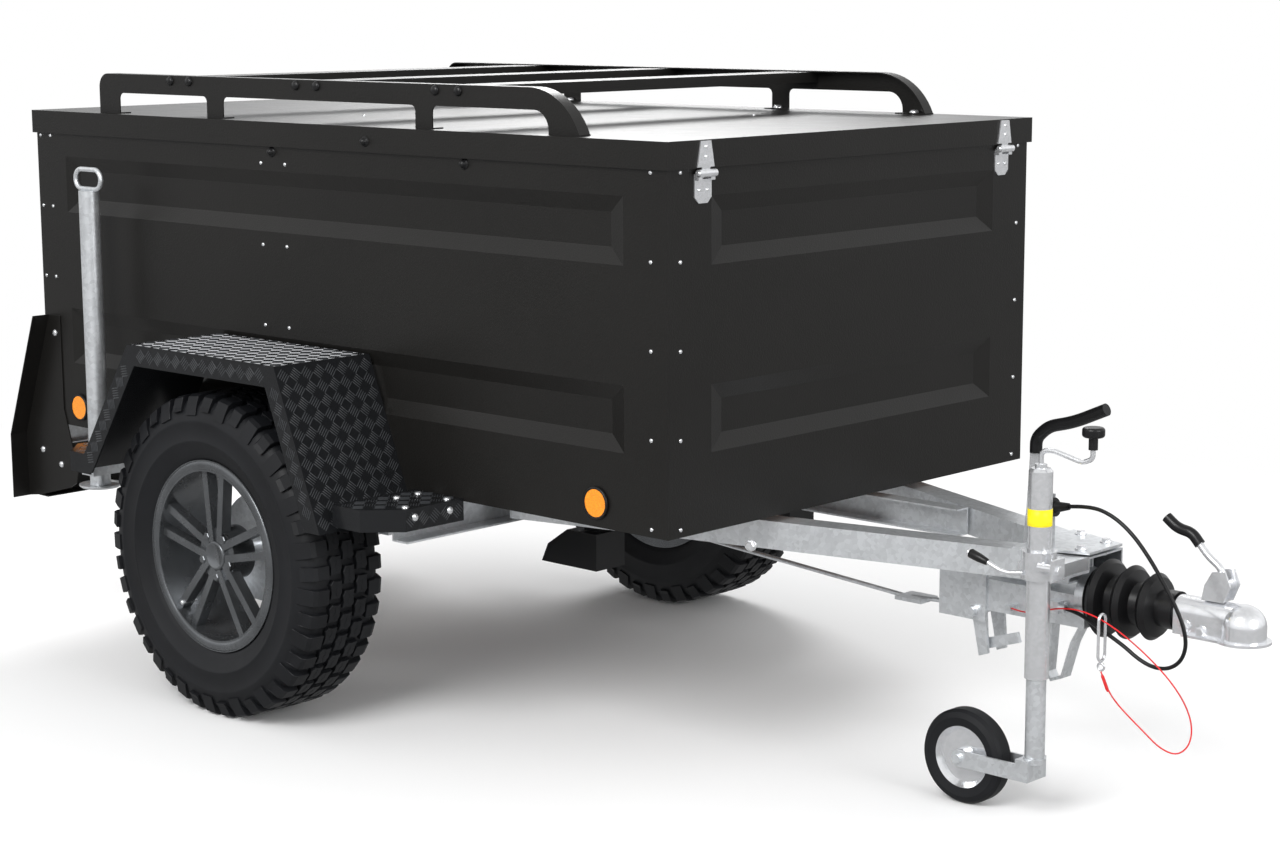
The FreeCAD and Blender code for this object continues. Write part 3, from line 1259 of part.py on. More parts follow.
def jockey_roller():
    """The jockey wheel: (rubber tyre, pressed steel disc)."""
    half = "jockey_wheel_width / 2"
    radius = "jockey_wheel"
    seat = "jockey_wheel - 34"
    place_x, place_y, place_z = "caster_x", "-jockey_y", "jockey_wheel"
    rubber = turned("jockey_rubber", "y", place_x, place_y, place_z,
                    [(seat, f"-{half} + 4"), (radius + " - 16", f"-{half}"), (radius + " - 5", f"-{half} + 4"),
                     (radius, f"-{half} + 12"), (radius, f"{half} - 12"), (radius + " - 5", f"{half} - 4"),
                     (radius + " - 16", half), (seat, f"{half} - 4")])
    bore = "jockey_hub + pin_play"
    disc = turned("jockey_disc", "y", place_x, place_y, place_z,
                  [(bore, f"-{half} + 2"), (bore + " + 9", f"-{half} + 2"), (bore + " + 9", f"-{half} + 14"),
                   (seat + " - 10", f"-{half} + 16"), (seat, f"-{half} + 4"), (seat, f"{half} - 4"),
                   (seat + " - 10", f"{half} - 16"), (bore + " + 9", f"{half} - 14"),
                   (bore + " + 9", f"{half} - 2"), (bore, f"{half} - 2")])
    return rubber, disc


jockey_rubber, jockey_disc = jockey_roller()
node(jockey_rubber, "jockey_tyre")
node(jockey_disc, "jockey_rim")


# ---------------------------------------------------------------- chock, plug and cords
def chock():
    """A plastic wheel chock parked under the floor on its holder."""
    front, y, low = size("axle_x") + 770, -330, 377
    side = Part.makePolygon([Vector(front - 170, 0, low), Vector(front, 0, low), Vector(front, 0, low + 82),
                             Vector(front - 90, 0, low + 82), Vector(front - 150, 0, low + 42),
                             Vector(front - 170, 0, low)])
    wedge = Part.Face(side).extrude(Vector(0, 90, 0)).translated(Vector(0, y - 45, 0))
    holder = Part.makeBox(46, 40, size("box_base") - low - 60, Vector(front - 60, y - 20, low + 60))
    return pair("chocks", feature("chock", wedge.fuse(holder)))


node(chock(), "wheel_chocks")


def cord(name, radius, points):
    """A cord's tube, with its length, its tightest bend and its volume printed."""
    points = [Vector(*point) for point in points]
    path, radii = route(points)
    ring = Part.Wire(Part.makeCircle(radius, points[0], points[1] - points[0]))
    tube = path.makePipeShell([ring], True, False)
    plain = math.pi * radius ** 2 * path.Length
    print(f"{name}: {path.Length:.0f} mm long, volume {tube.Volume / plain:.4f} of section times length,",
          f"tightest bend {min(radii):.0f} mm")
    return feature(name, tube)


# The lighting cable: from its gland on the housing, forward under the coupling, up and back to its plug.
CABLE_ROUTE = [
    (1214, -62, 404), (1252, -70, 402), (1294, -88, 392), (1338, -97, 378), (1376, -100, 362),
    (1410, -101, 342), (1443, -100, 331), (1477, -100, 334), (1504, -100, 354), (1515, -100, 387),
    (1507, -101, 427), (1485, -101, 467), (1457, -101, 508), (1425, -101, 550), (1386, -101, 591),
    (1340, -101, 620), (1290, -101, 631), (1241, -101, 623)]

node(cord("lighting_cable", size("cable") / 2, CABLE_ROUTE), "lighting_cable")


def plug():
    """The cable's plug, parked on a post of the drawbar's head plate."""
    here, back = Vector(*CABLE_ROUTE[-1]), Vector(*CABLE_ROUTE[-2])
    along = (here - back).normalize()
    relief = Part.makeCone(7, 12, 34, here, along)
    body = Part.makeCylinder(19, 52, here + along * 32, along)
    collar = Part.makeCylinder(23, 16, here + along * 52, along)
    return feature("plug", relief.multiFuse([body, collar]))


node(plug(), "plug")


# The breakaway wire: from the brake's shaft along the housing, then a hanging loop back to its hook.
WIRE_ROUTE = [
    (1090, -72, 386), (1136, -94, 388), (1184, -112, 402), (1230, -118, 418), (1278, -120, 424),
    (1326, -120, 416), (1372, -120, 398), (1416, -120, 374), (1460, -120, 345), (1500, -120, 312),
    (1530, -120, 276), (1546, -120, 236), (1540, -120, 196), (1512, -120, 172), (1474, -120, 180),
    (1440, -120, 204), (1408, -120, 226), (1378, -120, 248), (1353, -120, 274), (1337, -120, 308)]


def cable_gland():
    """The gland on the housing's side that the cable leaves from."""
    here = Vector(*CABLE_ROUTE[0])
    nut = Part.makeCylinder(9, 16, here - Vector(16, 0, 0), Vector(1, 0, 0))
    block = Part.makeBox(26, here.y * -1 - size("housing_half") + 8, 24,
                         Vector(here.x - 40, here.y - 8, here.z - 12))
    anchor = Vector(*WIRE_ROUTE[0])
    lug = Part.makeBox(14, anchor.y * -1 - size("housing_half") + 5, 10,
                       Vector(anchor.x - 14, anchor.y - 5, anchor.z - 5))
    return together("cable_ends", feature("cable_nut", nut.fuse(block)), feature("wire_lug", lug))


node(cable_gland(), "cable_gland")

node(cord("breakaway_wire", size("wire") / 2, WIRE_ROUTE), "breakaway_wire")


def carabiner():
    """The spring hook on the wire's end, hooked over the wire above it."""
    end = Vector(*WIRE_ROUTE[-1])
    eye = Part.makeTorus(7, 2.5, end + Vector(0, 0, 9.6), Vector(0, 1, 0))
    wide, tall, wire = 15, 100, 3
    bend = wide - wire
    low = end + Vector(0, 0, 18.5)
    pieces = [eye]
    for sign in (-1, 1):
        side = low + Vector(0, sign * bend, wide)
        pieces.append(Part.makeCylinder(wire, tall - 2 * wide, side, Vector(0, 0, 1)))
        level = low + Vector(0, 0, wide if sign < 0 else tall - wide)
        bow = Part.makeTorus(bend, wire, level, Vector(1, 0, 0))
        half = Part.makeBox(8, 2 * wide, wide, level + Vector(-4, -wide, -wide if sign < 0 else 0))
        pieces.append(bow.common(half))
    return feature("carabiner", pieces[0].multiFuse(pieces[1:]))


node(carabiner(), "carabiner")


# ---------------------------------------------------------------- checks and export
doc.recompute()
for thing in doc.Objects:
    if "Invalid" in thing.State or "Error" in thing.State:
        raise RuntimeError(f"{thing.Name} ({thing.Label}) failed: {thing.State}")
os.makedirs("parts", exist_ok=True)
for thing in finished:
    shape = thing.Shape
    if shape.isNull() or not shape.isValid():
        raise RuntimeError(f"{thing.Label} has no valid shape")
    shape.exportStep(os.path.join("parts", thing.Label + ".step"))
print(len(finished), "sub-parts written")
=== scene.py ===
# %% [markdown]
# An off-road box trailer, dressed in Blender around its engineering model.
# The engineering model gives the frame: every sheet, tube, hinge and wheel stands in its place,
# in metres, with +X towards the coupling, +Y to the left and +Z up. This lesson adds what that
# model leaves out, such as the tyre's tread, the rivets and bolts, and gives each piece its finish.

# %% Load the frame
import bpy
import bmesh
import math
from mathutils import Matrix, Vector


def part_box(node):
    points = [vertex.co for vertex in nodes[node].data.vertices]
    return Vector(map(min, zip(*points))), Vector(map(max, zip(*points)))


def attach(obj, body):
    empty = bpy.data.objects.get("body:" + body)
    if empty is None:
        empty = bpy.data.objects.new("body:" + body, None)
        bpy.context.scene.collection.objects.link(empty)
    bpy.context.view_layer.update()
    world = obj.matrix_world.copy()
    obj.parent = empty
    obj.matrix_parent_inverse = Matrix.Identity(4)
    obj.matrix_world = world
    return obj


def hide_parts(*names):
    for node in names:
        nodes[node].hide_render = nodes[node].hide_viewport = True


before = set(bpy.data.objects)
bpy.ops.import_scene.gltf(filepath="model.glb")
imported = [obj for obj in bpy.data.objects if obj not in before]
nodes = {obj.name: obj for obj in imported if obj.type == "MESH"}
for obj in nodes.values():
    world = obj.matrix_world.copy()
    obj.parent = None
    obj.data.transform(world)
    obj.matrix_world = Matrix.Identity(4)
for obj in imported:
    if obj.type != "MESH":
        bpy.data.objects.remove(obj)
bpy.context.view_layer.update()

# %% [markdown]
# The camera stands in front and to the right of the trailer, a little above its lid. A long
# lens from far away keeps the long box from looking stretched. Its direction is given by how
# far it is turned, how far it looks down and how much it leans.

# %% Camera
CAMERA_PLACE = Vector((4.0026, -4.2772, 1.6334))
CAMERA_YAW, CAMERA_DOWN, CAMERA_LEAN = 0.7544, 0.1702, -0.0042
ahead = Vector((-math.sin(CAMERA_YAW) * math.cos(CAMERA_DOWN),
                math.cos(CAMERA_YAW) * math.cos(CAMERA_DOWN), -math.sin(CAMERA_DOWN)))
level = Vector((math.cos(CAMERA_YAW), math.sin(CAMERA_YAW), 0))
upward = level.cross(ahead)
right = level * math.cos(CAMERA_LEAN) + upward * math.sin(CAMERA_LEAN)
top = upward * math.cos(CAMERA_LEAN) - level * math.sin(CAMERA_LEAN)
camera_data = bpy.data.cameras.new("camera")
camera_data.lens = 71.6
camera_data.sensor_width = 36
camera_data.clip_end = 200
camera = bpy.data.objects.new("camera", camera_data)
camera.matrix_world = Matrix((
    (right.x, top.x, -ahead.x, CAMERA_PLACE.x),
    (right.y, top.y, -ahead.y, CAMERA_PLACE.y),
    (right.z, top.z, -ahead.z, CAMERA_PLACE.z),
    (0, 0, 0, 1)))
bpy.context.collection.objects.link(camera)
bpy.context.scene.camera = camera
print("camera at", tuple(round(v, 2) for v in CAMERA_PLACE))

# %% [markdown]
# Every finish is a small tree of nodes on a Principled shader. The helpers below keep each
# material short: one makes the material, one adds a noise that reads the piece's own
# coordinates, one turns a value into a colour ramp and one turns it into a bump.

# %% Material helpers
def new_material(name, color, roughness, metallic=0.0, **extra):
    """A material with a Principled shader, and its tree."""
    material = bpy.data.materials.new(name)
    material.use_nodes = True
    tree = material.node_tree
    shader = tree.nodes["Principled BSDF"]
    shader.inputs["Base Color"].default_value = (*color, 1)
    shader.inputs["Roughness"].default_value = roughness
    shader.inputs["Metallic"].default_value = metallic
    for key, value in extra.items():
        shader.inputs[key.replace("_", " ")].default_value = value
    return material, tree, shader


def coordinates(tree, stretch=(1, 1, 1)):
    """The piece's own coordinates, stretched along its axes."""
    source = tree.nodes.new("ShaderNodeTexCoord")
    mapping = tree.nodes.new("ShaderNodeMapping")
    mapping.inputs["Scale"].default_value = stretch
    tree.links.new(source.outputs["Object"], mapping.inputs["Vector"])
    return mapping.outputs["Vector"]


def noise(tree, scale, detail=3.0, roughness=0.55, stretch=(1, 1, 1)):
    """A noise value on the piece's own coordinates."""
    node = tree.nodes.new("ShaderNodeTexNoise")
    node.inputs["Scale"].default_value = scale
    node.inputs["Detail"].default_value = detail
    node.inputs["Roughness"].default_value = roughness
    tree.links.new(coordinates(tree, stretch), node.inputs["Vector"])
    return node.outputs["Fac"]


def ramp(tree, value, *stops):
    """A colour ramp; each stop is (place, colour)."""
    node = tree.nodes.new("ShaderNodeValToRGB")
    elements = node.color_ramp.elements
    for index, (where, color) in enumerate(stops):
        element = elements[index] if index < 2 else elements.new(where)
        element.position = where
        element.color = (*color, 1) if len(color) == 3 else (color[0], color[0], color[0], 1)
    tree.links.new(value, node.inputs["Fac"])
    return node.outputs["Color"]


def span(tree, value, low, high):
    """A value spread over a range, for a roughness."""
    node = tree.nodes.new("ShaderNodeMapRange")
    node.inputs["To Min"].default_value = low
    node.inputs["To Max"].default_value = high
    tree.links.new(value, node.inputs["Value"])
    return node.outputs["Result"]


def bump(tree, shader, height, strength, distance, below=None):
    """A bump on the shader, over an earlier bump if one is given."""
    node = tree.nodes.new("ShaderNodeBump")
    node.inputs["Strength"].default_value = strength
    node.inputs["Distance"].default_value = distance
    tree.links.new(height, node.inputs["Height"])
    if below is not None:
        tree.links.new(below, node.inputs["Normal"])
    tree.links.new(node.outputs["Normal"], shader.inputs["Normal"])
    return node.outputs["Normal"]


# %% [markdown]
# The box is powder coated in a warm grey, nearly black. Powder coat has a fine hammered texture: a small
# noise as bump, and a slightly uneven gloss. The tread plate of the fenders is the same paint, smoother
# and shinier, so that its raised bars catch the light; the bars also get a lighter copy of the paint, a
# painted highlight. A light grey copy is a painted reflection of the sky, for the fender tops.

# %% Powder coat
def powder_coat(name, color, roughness, grain, depth):
    """Powder coat with its own colour, gloss and size of grain."""
    material, tree, shader = new_material(name, color, roughness, Specular_IOR_Level=0.28)
    dust = noise(tree, 2.2, 4)
    low = tuple(c * 0.9 for c in color)
    high = tuple(c * 1.12 for c in color)
    tree.links.new(ramp(tree, dust, (0.3, low), (0.7, high)), shader.inputs["Base Color"])
    tree.links.new(span(tree, noise(tree, 14, 3), roughness - 0.04, roughness + 0.05),
                   shader.inputs["Roughness"])
    bump(tree, shader, noise(tree, grain, 2), 0.35, depth)
    return material


box_paint = powder_coat("box_paint", (0.0085, 0.008, 0.0073), 0.34, 260, 0.001)
plate_paint = powder_coat("plate_paint", (0.009, 0.0095, 0.0105), 0.22, 500, 0.0001)
# The bars' lighter copy of the plate paint: a painted highlight on the raised bars.
lit_bar_paint = powder_coat("lit_bar_paint", (0.034, 0.036, 0.039), 0.28, 500, 0.0001)
# A light grey copy of the paint: a painted reflection of the sky, laid on the fender tops.
sky_reflection_plate = powder_coat("sky_reflection_plate", (0.6, 0.61, 0.63), 0.4, 500, 0.0001)
print("powder coats made")

# %% [markdown]
# Hot-dip galvanised steel is pale grey with faint crystals, the spangle. A fine Voronoi gives
# the crystals, with little contrast, and a larger noise makes the cloudy patches between them.
# The jockey tube, the levers and the coupling are plated instead, so they are brighter.

# %% Galvanised and plated steel
def galvanised(name, color, roughness, spangle, contrast):
    """Zinc with crystals of a given fineness and contrast."""
    material, tree, shader = new_material(name, color, roughness, 0.8)
    cells = tree.nodes.new("ShaderNodeTexVoronoi")
    cells.inputs["Scale"].default_value = spangle
    tree.links.new(coordinates(tree), cells.inputs["Vector"])
    tone = tree.nodes.new("ShaderNodeSeparateColor")
    tree.links.new(cells.outputs["Color"], tone.inputs["Color"])
    cloud = tree.nodes.new("ShaderNodeMath")
    cloud.operation = "MULTIPLY_ADD"
    cloud.inputs[1].default_value = 0.4
    tree.links.new(tone.outputs["Red"], cloud.inputs[0])
    tree.links.new(noise(tree, 9, 5), cloud.inputs[2])
    low = tuple(c * (1 - contrast) for c in color)
    high = tuple(min(1, c * (1 + contrast)) for c in color)
    tree.links.new(ramp(tree, cloud.outputs[0], (0.4, low), (0.95, high)),
                   shader.inputs["Base Color"])
    tree.links.new(span(tree, noise(tree, 25, 3), roughness - 0.08, roughness + 0.08),
                   shader.inputs["Roughness"])
    bump(tree, shader, noise(tree, 160, 3), 0.08, 0.0005)
    return material


zinc = galvanised("zinc", (0.7, 0.72, 0.74), 0.36, 110, 0.13)
plated = galvanised("plated", (0.8, 0.81, 0.83), 0.22, 160, 0.05)
print("zinc finishes made")

# %% [markdown]
# Rubber is nearly black and scatters light widely. The tyre's rubber is dustier than the
# bellows' and the cable's. Plastic is smoother than both.

# %% Rubber and plastic
def plain_stuff(name, color, roughness, grain, depth):
    """Rubber or plastic, a little mottled."""
    material, tree, shader = new_material(name, color, roughness, Specular_IOR_Level=0.3)
    spots = noise(tree, 9, 4)
    low = tuple(c * 0.8 for c in color)
    high = tuple(c * 1.25 for c in color)
    tree.links.new(ramp(tree, spots, (0.3, low), (0.72, high)), shader.inputs["Base Color"])
    tree.links.new(span(tree, noise(tree, 30, 3), roughness - 0.06, roughness + 0.06),
                   shader.inputs["Roughness"])
    bump(tree, shader, noise(tree, grain, 2), 0.15, depth)
    return material


tyre_rubber = plain_stuff("tyre_rubber", (0.0055, 0.006, 0.0075), 0.55, 500, 0.0004)
soft_rubber = plain_stuff("soft_rubber", (0.006, 0.006, 0.0065), 0.3, 600, 0.0002)
black_plastic = plain_stuff("black_plastic", (0.008, 0.008, 0.0085), 0.32, 700, 0.0002)
rim_paint = plain_stuff("rim_paint", (0.15, 0.157, 0.165), 0.26, 800, 0.0001)
rim_paint.node_tree.nodes["Principled BSDF"].inputs["Metallic"].default_value = 0.8
red_sleeve = plain_stuff("red_sleeve", (0.6, 0.012, 0.015), 0.4, 700, 0.0001)
yellow_band = plain_stuff("yellow_band", (0.86, 0.72, 0.01), 0.4, 700, 0.0001)
print("rubbers and plastics made")

# %% [markdown]
# The lamps and reflectors are moulded in clear coloured plastic over a pattern of prisms. A
# fine Voronoi as bump gives the sparkle of the prisms.

# %% Lenses
def lens(name, color):
    """Clear coloured plastic over small prisms."""
    material, tree, shader = new_material(name, color, 0.16, Coat_Weight=0.6, Coat_Roughness=0.08)
    prisms = tree.nodes.new("ShaderNodeTexVoronoi")
    prisms.inputs["Scale"].default_value = 260
    tree.links.new(coordinates(tree), prisms.inputs["Vector"])
    shade = ramp(tree, prisms.outputs["Distance"], (0, tuple(c * 0.75 for c in color)), (0.6, color))
    tree.links.new(shade, shader.inputs["Base Color"])
    bump(tree, shader, prisms.outputs["Distance"], 0.35, 0.001)
    return material


orange_lens = lens("orange_lens", (0.85, 0.27, 0.01))
red_lens = lens("red_lens", (0.5, 0.01, 0.01))
print("lenses made")

# %% [markdown]
# The floor of the box is film-faced plywood, brown with a fine woven print.

# %% Plywood
def film_faced_plywood():
    """Brown plywood with its grain along the box."""
    material, tree, shader = new_material("film_plywood", (0.09, 0.045, 0.025), 0.4)
    grain = noise(tree, 6, 6, 0.6, (1, 12, 12))
    tree.links.new(ramp(tree, grain, (0.3, (0.06, 0.03, 0.018)), (0.7, (0.12, 0.06, 0.034))),
                   shader.inputs["Base Color"])
    bump(tree, shader, noise(tree, 420, 1), 0.3, 0.0005)
    return material


film_plywood = film_faced_plywood()
print("plywood made")

# %% [markdown]
# Each piece of the engineering model now gets its finish. The list reads from finish to pieces,
# as a paint shop sorts its racks, so that a piece that was forgotten shows up by name.

# %% Give each piece its finish
FINISHES = {
    box_paint: "side_panel_right side_panel_left front_panel corner_posts rear_header tailgate lid "
               "roof_rails rack_crossbars light_board light_guards",
    plate_paint: "fender_steps fenders",
    zinc: "drawbar_rail_right drawbar_rail_left centre_channel side_rails cross_members axle_beam "
          "swing_arms overrun_housing jockey_leg jockey_fork prop_stand_right prop_stand_left "
          "stand_clamps safety_strap brake_linkage cable_gland",
    plated: "handbrake_lever jockey_crank jockey_lever jockey_tube jockey_clamp tailgate_latches "
            "tailgate_hinges jockey_rim lid_hinge_leaves lid_hinge_brackets coupling_head "
            "coupling_handle carabiner",
    tyre_rubber: "tyre_right tyre_left jockey_tyre",
    soft_rubber: "bellows handbrake_grip coupling_grip lighting_cable",
    black_plastic: "wheel_chocks plug jockey_knob",
    rim_paint: "rim_right rim_left",
    orange_lens: "side_reflectors",
    red_lens: "tail_lamps",
    red_sleeve: "breakaway_wire",
    film_plywood: "floor_panel",
}
for finish, names in FINISHES.items():
    for name in names.split():
        slots = nodes[name].data.materials
        slots.clear()
        slots.append(finish)
left_bare = set(nodes) - set(" ".join(FINISHES.values()).split())
print("pieces without a finish:", sorted(left_bare))

# %% [markdown]
# Two cords hang free. The lighting cable leaves its gland, sags under the coupling and turns
# back up to its plug, which is parked on the drawbar. The breakaway wire runs forward beside it
# and ends, after one hanging loop, in a spring hook. Each is a smooth NURBS curve through the
# same points as the engineering model, in metres.

# %% Cords
CABLE_ROUTE = [
    (1.214, -0.062, 0.404), (1.252, -0.070, 0.402), (1.294, -0.088, 0.392), (1.338, -0.097, 0.378),
    (1.376, -0.100, 0.362), (1.410, -0.101, 0.342), (1.443, -0.100, 0.331), (1.477, -0.100, 0.334),
    (1.504, -0.100, 0.354), (1.515, -0.100, 0.387), (1.507, -0.101, 0.427), (1.485, -0.101, 0.467),
    (1.457, -0.101, 0.508), (1.425, -0.101, 0.550), (1.386, -0.101, 0.591), (1.340, -0.101, 0.620),
    (1.290, -0.101, 0.631), (1.241, -0.101, 0.623)]
WIRE_ROUTE = [
    (1.090, -0.072, 0.386), (1.136, -0.094, 0.388), (1.184, -0.112, 0.402), (1.230, -0.118, 0.418),
    (1.278, -0.120, 0.424), (1.326, -0.120, 0.416), (1.372, -0.120, 0.398), (1.416, -0.120, 0.374),
    (1.460, -0.120, 0.345), (1.500, -0.120, 0.312), (1.530, -0.120, 0.276), (1.546, -0.120, 0.236),
    (1.540, -0.120, 0.196), (1.512, -0.120, 0.172), (1.474, -0.120, 0.180), (1.440, -0.120, 0.204),
    (1.408, -0.120, 0.226), (1.378, -0.120, 0.248), (1.353, -0.120, 0.274), (1.337, -0.120, 0.308)]
CABLE_THICK, WIRE_THICK = 0.008, 0.003


def cord(name, points, thick, finish, node):
    """A round cord along a route, in place of its plain tube."""
    curve = bpy.data.curves.new(name, "CURVE")
    curve.dimensions = "3D"
    curve.bevel_depth = thick / 2
    curve.bevel_resolution = 4
    curve.use_fill_caps = True
    spline = curve.splines.new("NURBS")
    spline.points.add(len(points) - 1)
    for point, place in zip(spline.points, points):
        point.co = (*place, 1)
    spline.order_u = 3
    spline.use_endpoint_u = True
    spline.resolution_u = 8
    curve.materials.append(finish)
    piece = bpy.data.objects.new(name, curve)
    bpy.context.collection.objects.link(piece)
    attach(piece, "chassis")
    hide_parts(node)
    return piece


cable = cord("cable_cord", CABLE_ROUTE, CABLE_THICK, soft_rubber, "lighting_cable")
wire = cord("wire_cord", WIRE_ROUTE, WIRE_THICK, red_sleeve, "breakaway_wire")
print("2 cords")

# %% [markdown]
# Everything below is repeated many times, so one small tree of Geometry Nodes does the work: it
# sets a copy of a piece at every point of a mesh, turned by the point's own angles, makes the
# copies real and gives them their material. Python only writes down where the points are.

# %% The copying tree
def copying_tree():
    """The tree that copies a piece to every point of a mesh."""
    tree = bpy.data.node_groups.new("copies", "GeometryNodeTree")
    for name, kind in (("Points", "Geometry"), ("Piece", "Object"), ("Finish", "Material")):
        tree.interface.new_socket(name, in_out="INPUT", socket_type="NodeSocket" + kind)
    tree.interface.new_socket("Copies", in_out="OUTPUT", socket_type="NodeSocketGeometry")
    start = tree.nodes.new("NodeGroupInput")
    end = tree.nodes.new("NodeGroupOutput")
    piece = tree.nodes.new("GeometryNodeObjectInfo")
    turn = tree.nodes.new("GeometryNodeInputNamedAttribute")
    turn.data_type = "FLOAT_VECTOR"
    turn.inputs["Name"].default_value = "turn"
    angles = tree.nodes.new("FunctionNodeEulerToRotation")
    copies = tree.nodes.new("GeometryNodeInstanceOnPoints")
    real = tree.nodes.new("GeometryNodeRealizeInstances")
    paint = tree.nodes.new("GeometryNodeSetMaterial")
    link = tree.links.new
    link(start.outputs["Piece"], piece.inputs["Object"])
    link(start.outputs["Points"], copies.inputs["Points"])
    link(piece.outputs["Geometry"], copies.inputs["Instance"])
    link(turn.outputs["Attribute"], angles.inputs[0])
    link(angles.outputs[0], copies.inputs["Rotation"])
    link(copies.outputs["Instances"], real.inputs["Geometry"])
    link(real.outputs["Geometry"], paint.inputs["Geometry"])
    link(start.outputs["Finish"], paint.inputs["Material"])
    link(paint.outputs["Geometry"], end.inputs["Copies"])
    return tree


COPIES = copying_tree()
print("copying tree:", len(COPIES.nodes), "nodes")


def copies(name, piece, places, finish, body):
    """One copy of a mesh at every place; a place is (point, 3 x 3 turn)."""
    points = bpy.data.meshes.new(name)
    points.from_pydata([point for point, _ in places], [], [])
    turns = points.attributes.new("turn", "FLOAT_VECTOR", "POINT")
    turns.data.foreach_set("vector", [angle for _, turn in places for angle in turn.to_euler()])
    source = bpy.data.objects.new(name + "_one", piece)
    made = bpy.data.objects.new(name, points)
    bpy.context.collection.objects.link(source)
    bpy.context.collection.objects.link(made)
    modifier = made.modifiers.new("copies", "NODES")
    modifier.node_group = COPIES
    sockets = {item.name: item.identifier for item in COPIES.interface.items_tree
               if item.in_out == "INPUT"}
    modifier[sockets["Piece"]] = source
    modifier[sockets["Finish"]] = finish
    graph = bpy.context.evaluated_depsgraph_get()
    mesh = bpy.data.meshes.new_from_object(made.evaluated_get(graph))
    made.modifiers.clear()
    made.data = mesh
    bpy.data.objects.remove(source)
    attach(made, body)
    print(name, len(places), "copies,", len(mesh.polygons), "faces")
    return made


def facing(along, out):
    """The turn that brings a piece's X to one direction and its Z to another."""
    along, out = Vector(along).normalized(), Vector(out).normalized()
    across = out.cross(along)
    return Matrix((along, across, out)).transposed()


RIGHT, LEFT = facing((1, 0, 0), (0, -1, 0)), facing((-1, 0, 0), (0, 1, 0))
FRONT, UP = facing((0, 1, 0), (1, 0, 0)), facing((1, 0, 0), (0, 0, 1))

# %% [markdown]
# Small pieces come from two makers. A lathe turns an outline of radii and heights about the Z
# axis, for rivets, washers and tyres. A prism gives a flat outline a thickness, with softened
# edges, for bolt heads and tread blocks.

# %% Makers
def polygon(radius, count):
    """The corners of a regular polygon."""
    return [(radius * math.cos(2 * math.pi * k / count), radius * math.sin(2 * math.pi * k / count))
            for k in range(count)]


def rectangle(half_x, half_y):
    """The corners of a rectangle round the middle."""
    return [(-half_x, -half_y), (half_x, -half_y), (half_x, half_y), (-half_x, half_y)]


def mesh_from(name, shape, smooth):
    """A mesh from a finished shape, with its faces turned outwards."""
    bmesh.ops.recalc_face_normals(shape, faces=shape.faces)
    mesh = bpy.data.meshes.new(name)
    shape.to_mesh(mesh)
    shape.free()
    mesh.polygons.foreach_set("use_smooth", [smooth] * len(mesh.polygons))
    return mesh


def lathe(name, outline, count, smooth=True):
    """A solid of revolution; the outline's corners are (radius, height)."""
    shape = bmesh.new()
    rings = []
    for radius, height in outline:
        if radius == 0:
            rings.append([shape.verts.new((0, 0, height))])
            continue
        rings.append([shape.verts.new((x, y, height)) for x, y in polygon(radius, count)])
    for low, high in zip(rings, rings[1:]):
        for k in range(count):
            ahead = (k + 1) % count
            corners = [low[k % len(low)], low[ahead % len(low)],
                       high[ahead % len(high)], high[k % len(high)]]
            shape.faces.new(list(dict.fromkeys(corners)))
    return mesh_from(name, shape, smooth)


def prism(name, outline, low, high, soft=0.0):
    """A flat outline with a thickness; its upper edges are softened."""
    shape = bmesh.new()
    base = [shape.verts.new((x, y, low)) for x, y in outline]
    crown = [shape.verts.new((x, y, high)) for x, y in outline]
    shape.faces.new(base[::-1])
    lid_face = shape.faces.new(crown)
    for k in range(len(outline)):
        ahead = (k + 1) % len(outline)
        shape.faces.new((base[k], base[ahead], crown[ahead], crown[k]))
    if soft:
        bmesh.ops.bevel(shape, geom=list(lid_face.edges), offset=soft, segments=1, affect="EDGES")
    return mesh_from(name, shape, False)


rivet = lathe("rivet", [(0.0044, -0.001), (0.0044, 0.0006), (0.0036, 0.0021), (0.0014, 0.0028),
                        (0, 0.0024)], 14)
dome_nut = lathe("dome_nut", [(0.012, -0.001), (0.012, 0.0015), (0.0082, 0.0024), (0.008, 0.0075),
                              (0.005, 0.012), (0, 0.0135)], 18)
screw_head = lathe("screw_head", [(0.0085, -0.001), (0.0085, 0.0012), (0.006, 0.0038),
                                  (0, 0.0048)], 16)
washer = lathe("washer", [(0.0125, -0.001), (0.0125, 0.0016), (0.0118, 0.0022),
                          (0, 0.0022)], 24, False)
bolt_head = prism("bolt_head", polygon(0.0098, 6), 0.0, 0.0085, 0.0014)
square_washer = prism("square_washer", rectangle(0.022, 0.022), -0.001, 0.004, 0.001)
print("small pieces made")

# %% [markdown]
# The box is riveted: a column of rivets on both sides of each front edge, a column on the rear
# posts, and three pairs in the middle of each side wall, where a stay is riveted on inside.

# %% Rivets of the box
box_low, box_high = (Vector(corner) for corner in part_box("side_panel_right"))
HALF, BOX_FRONT, BASE, WALL_TOP = -box_low.y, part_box("front_panel")[1][0], box_low.z, box_high.z
BOX_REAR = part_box("corner_posts")[0][0]
AXLE_X = (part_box("tyre_right")[0][0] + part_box("tyre_right")[1][0]) / 2
ROWS = [BASE + rise for rise in (0.016, 0.198, 0.378, 0.556, 0.733)]
STAY_ROWS = [BASE + rise for rise in (0.3265, 0.513, 0.7)]
STAY_X = AXLE_X - 0.02


def both_sides(x, z):
    """The same place on the right and the left wall."""
    return [((x, -HALF, z), RIGHT), ((x, HALF, z), LEFT)]


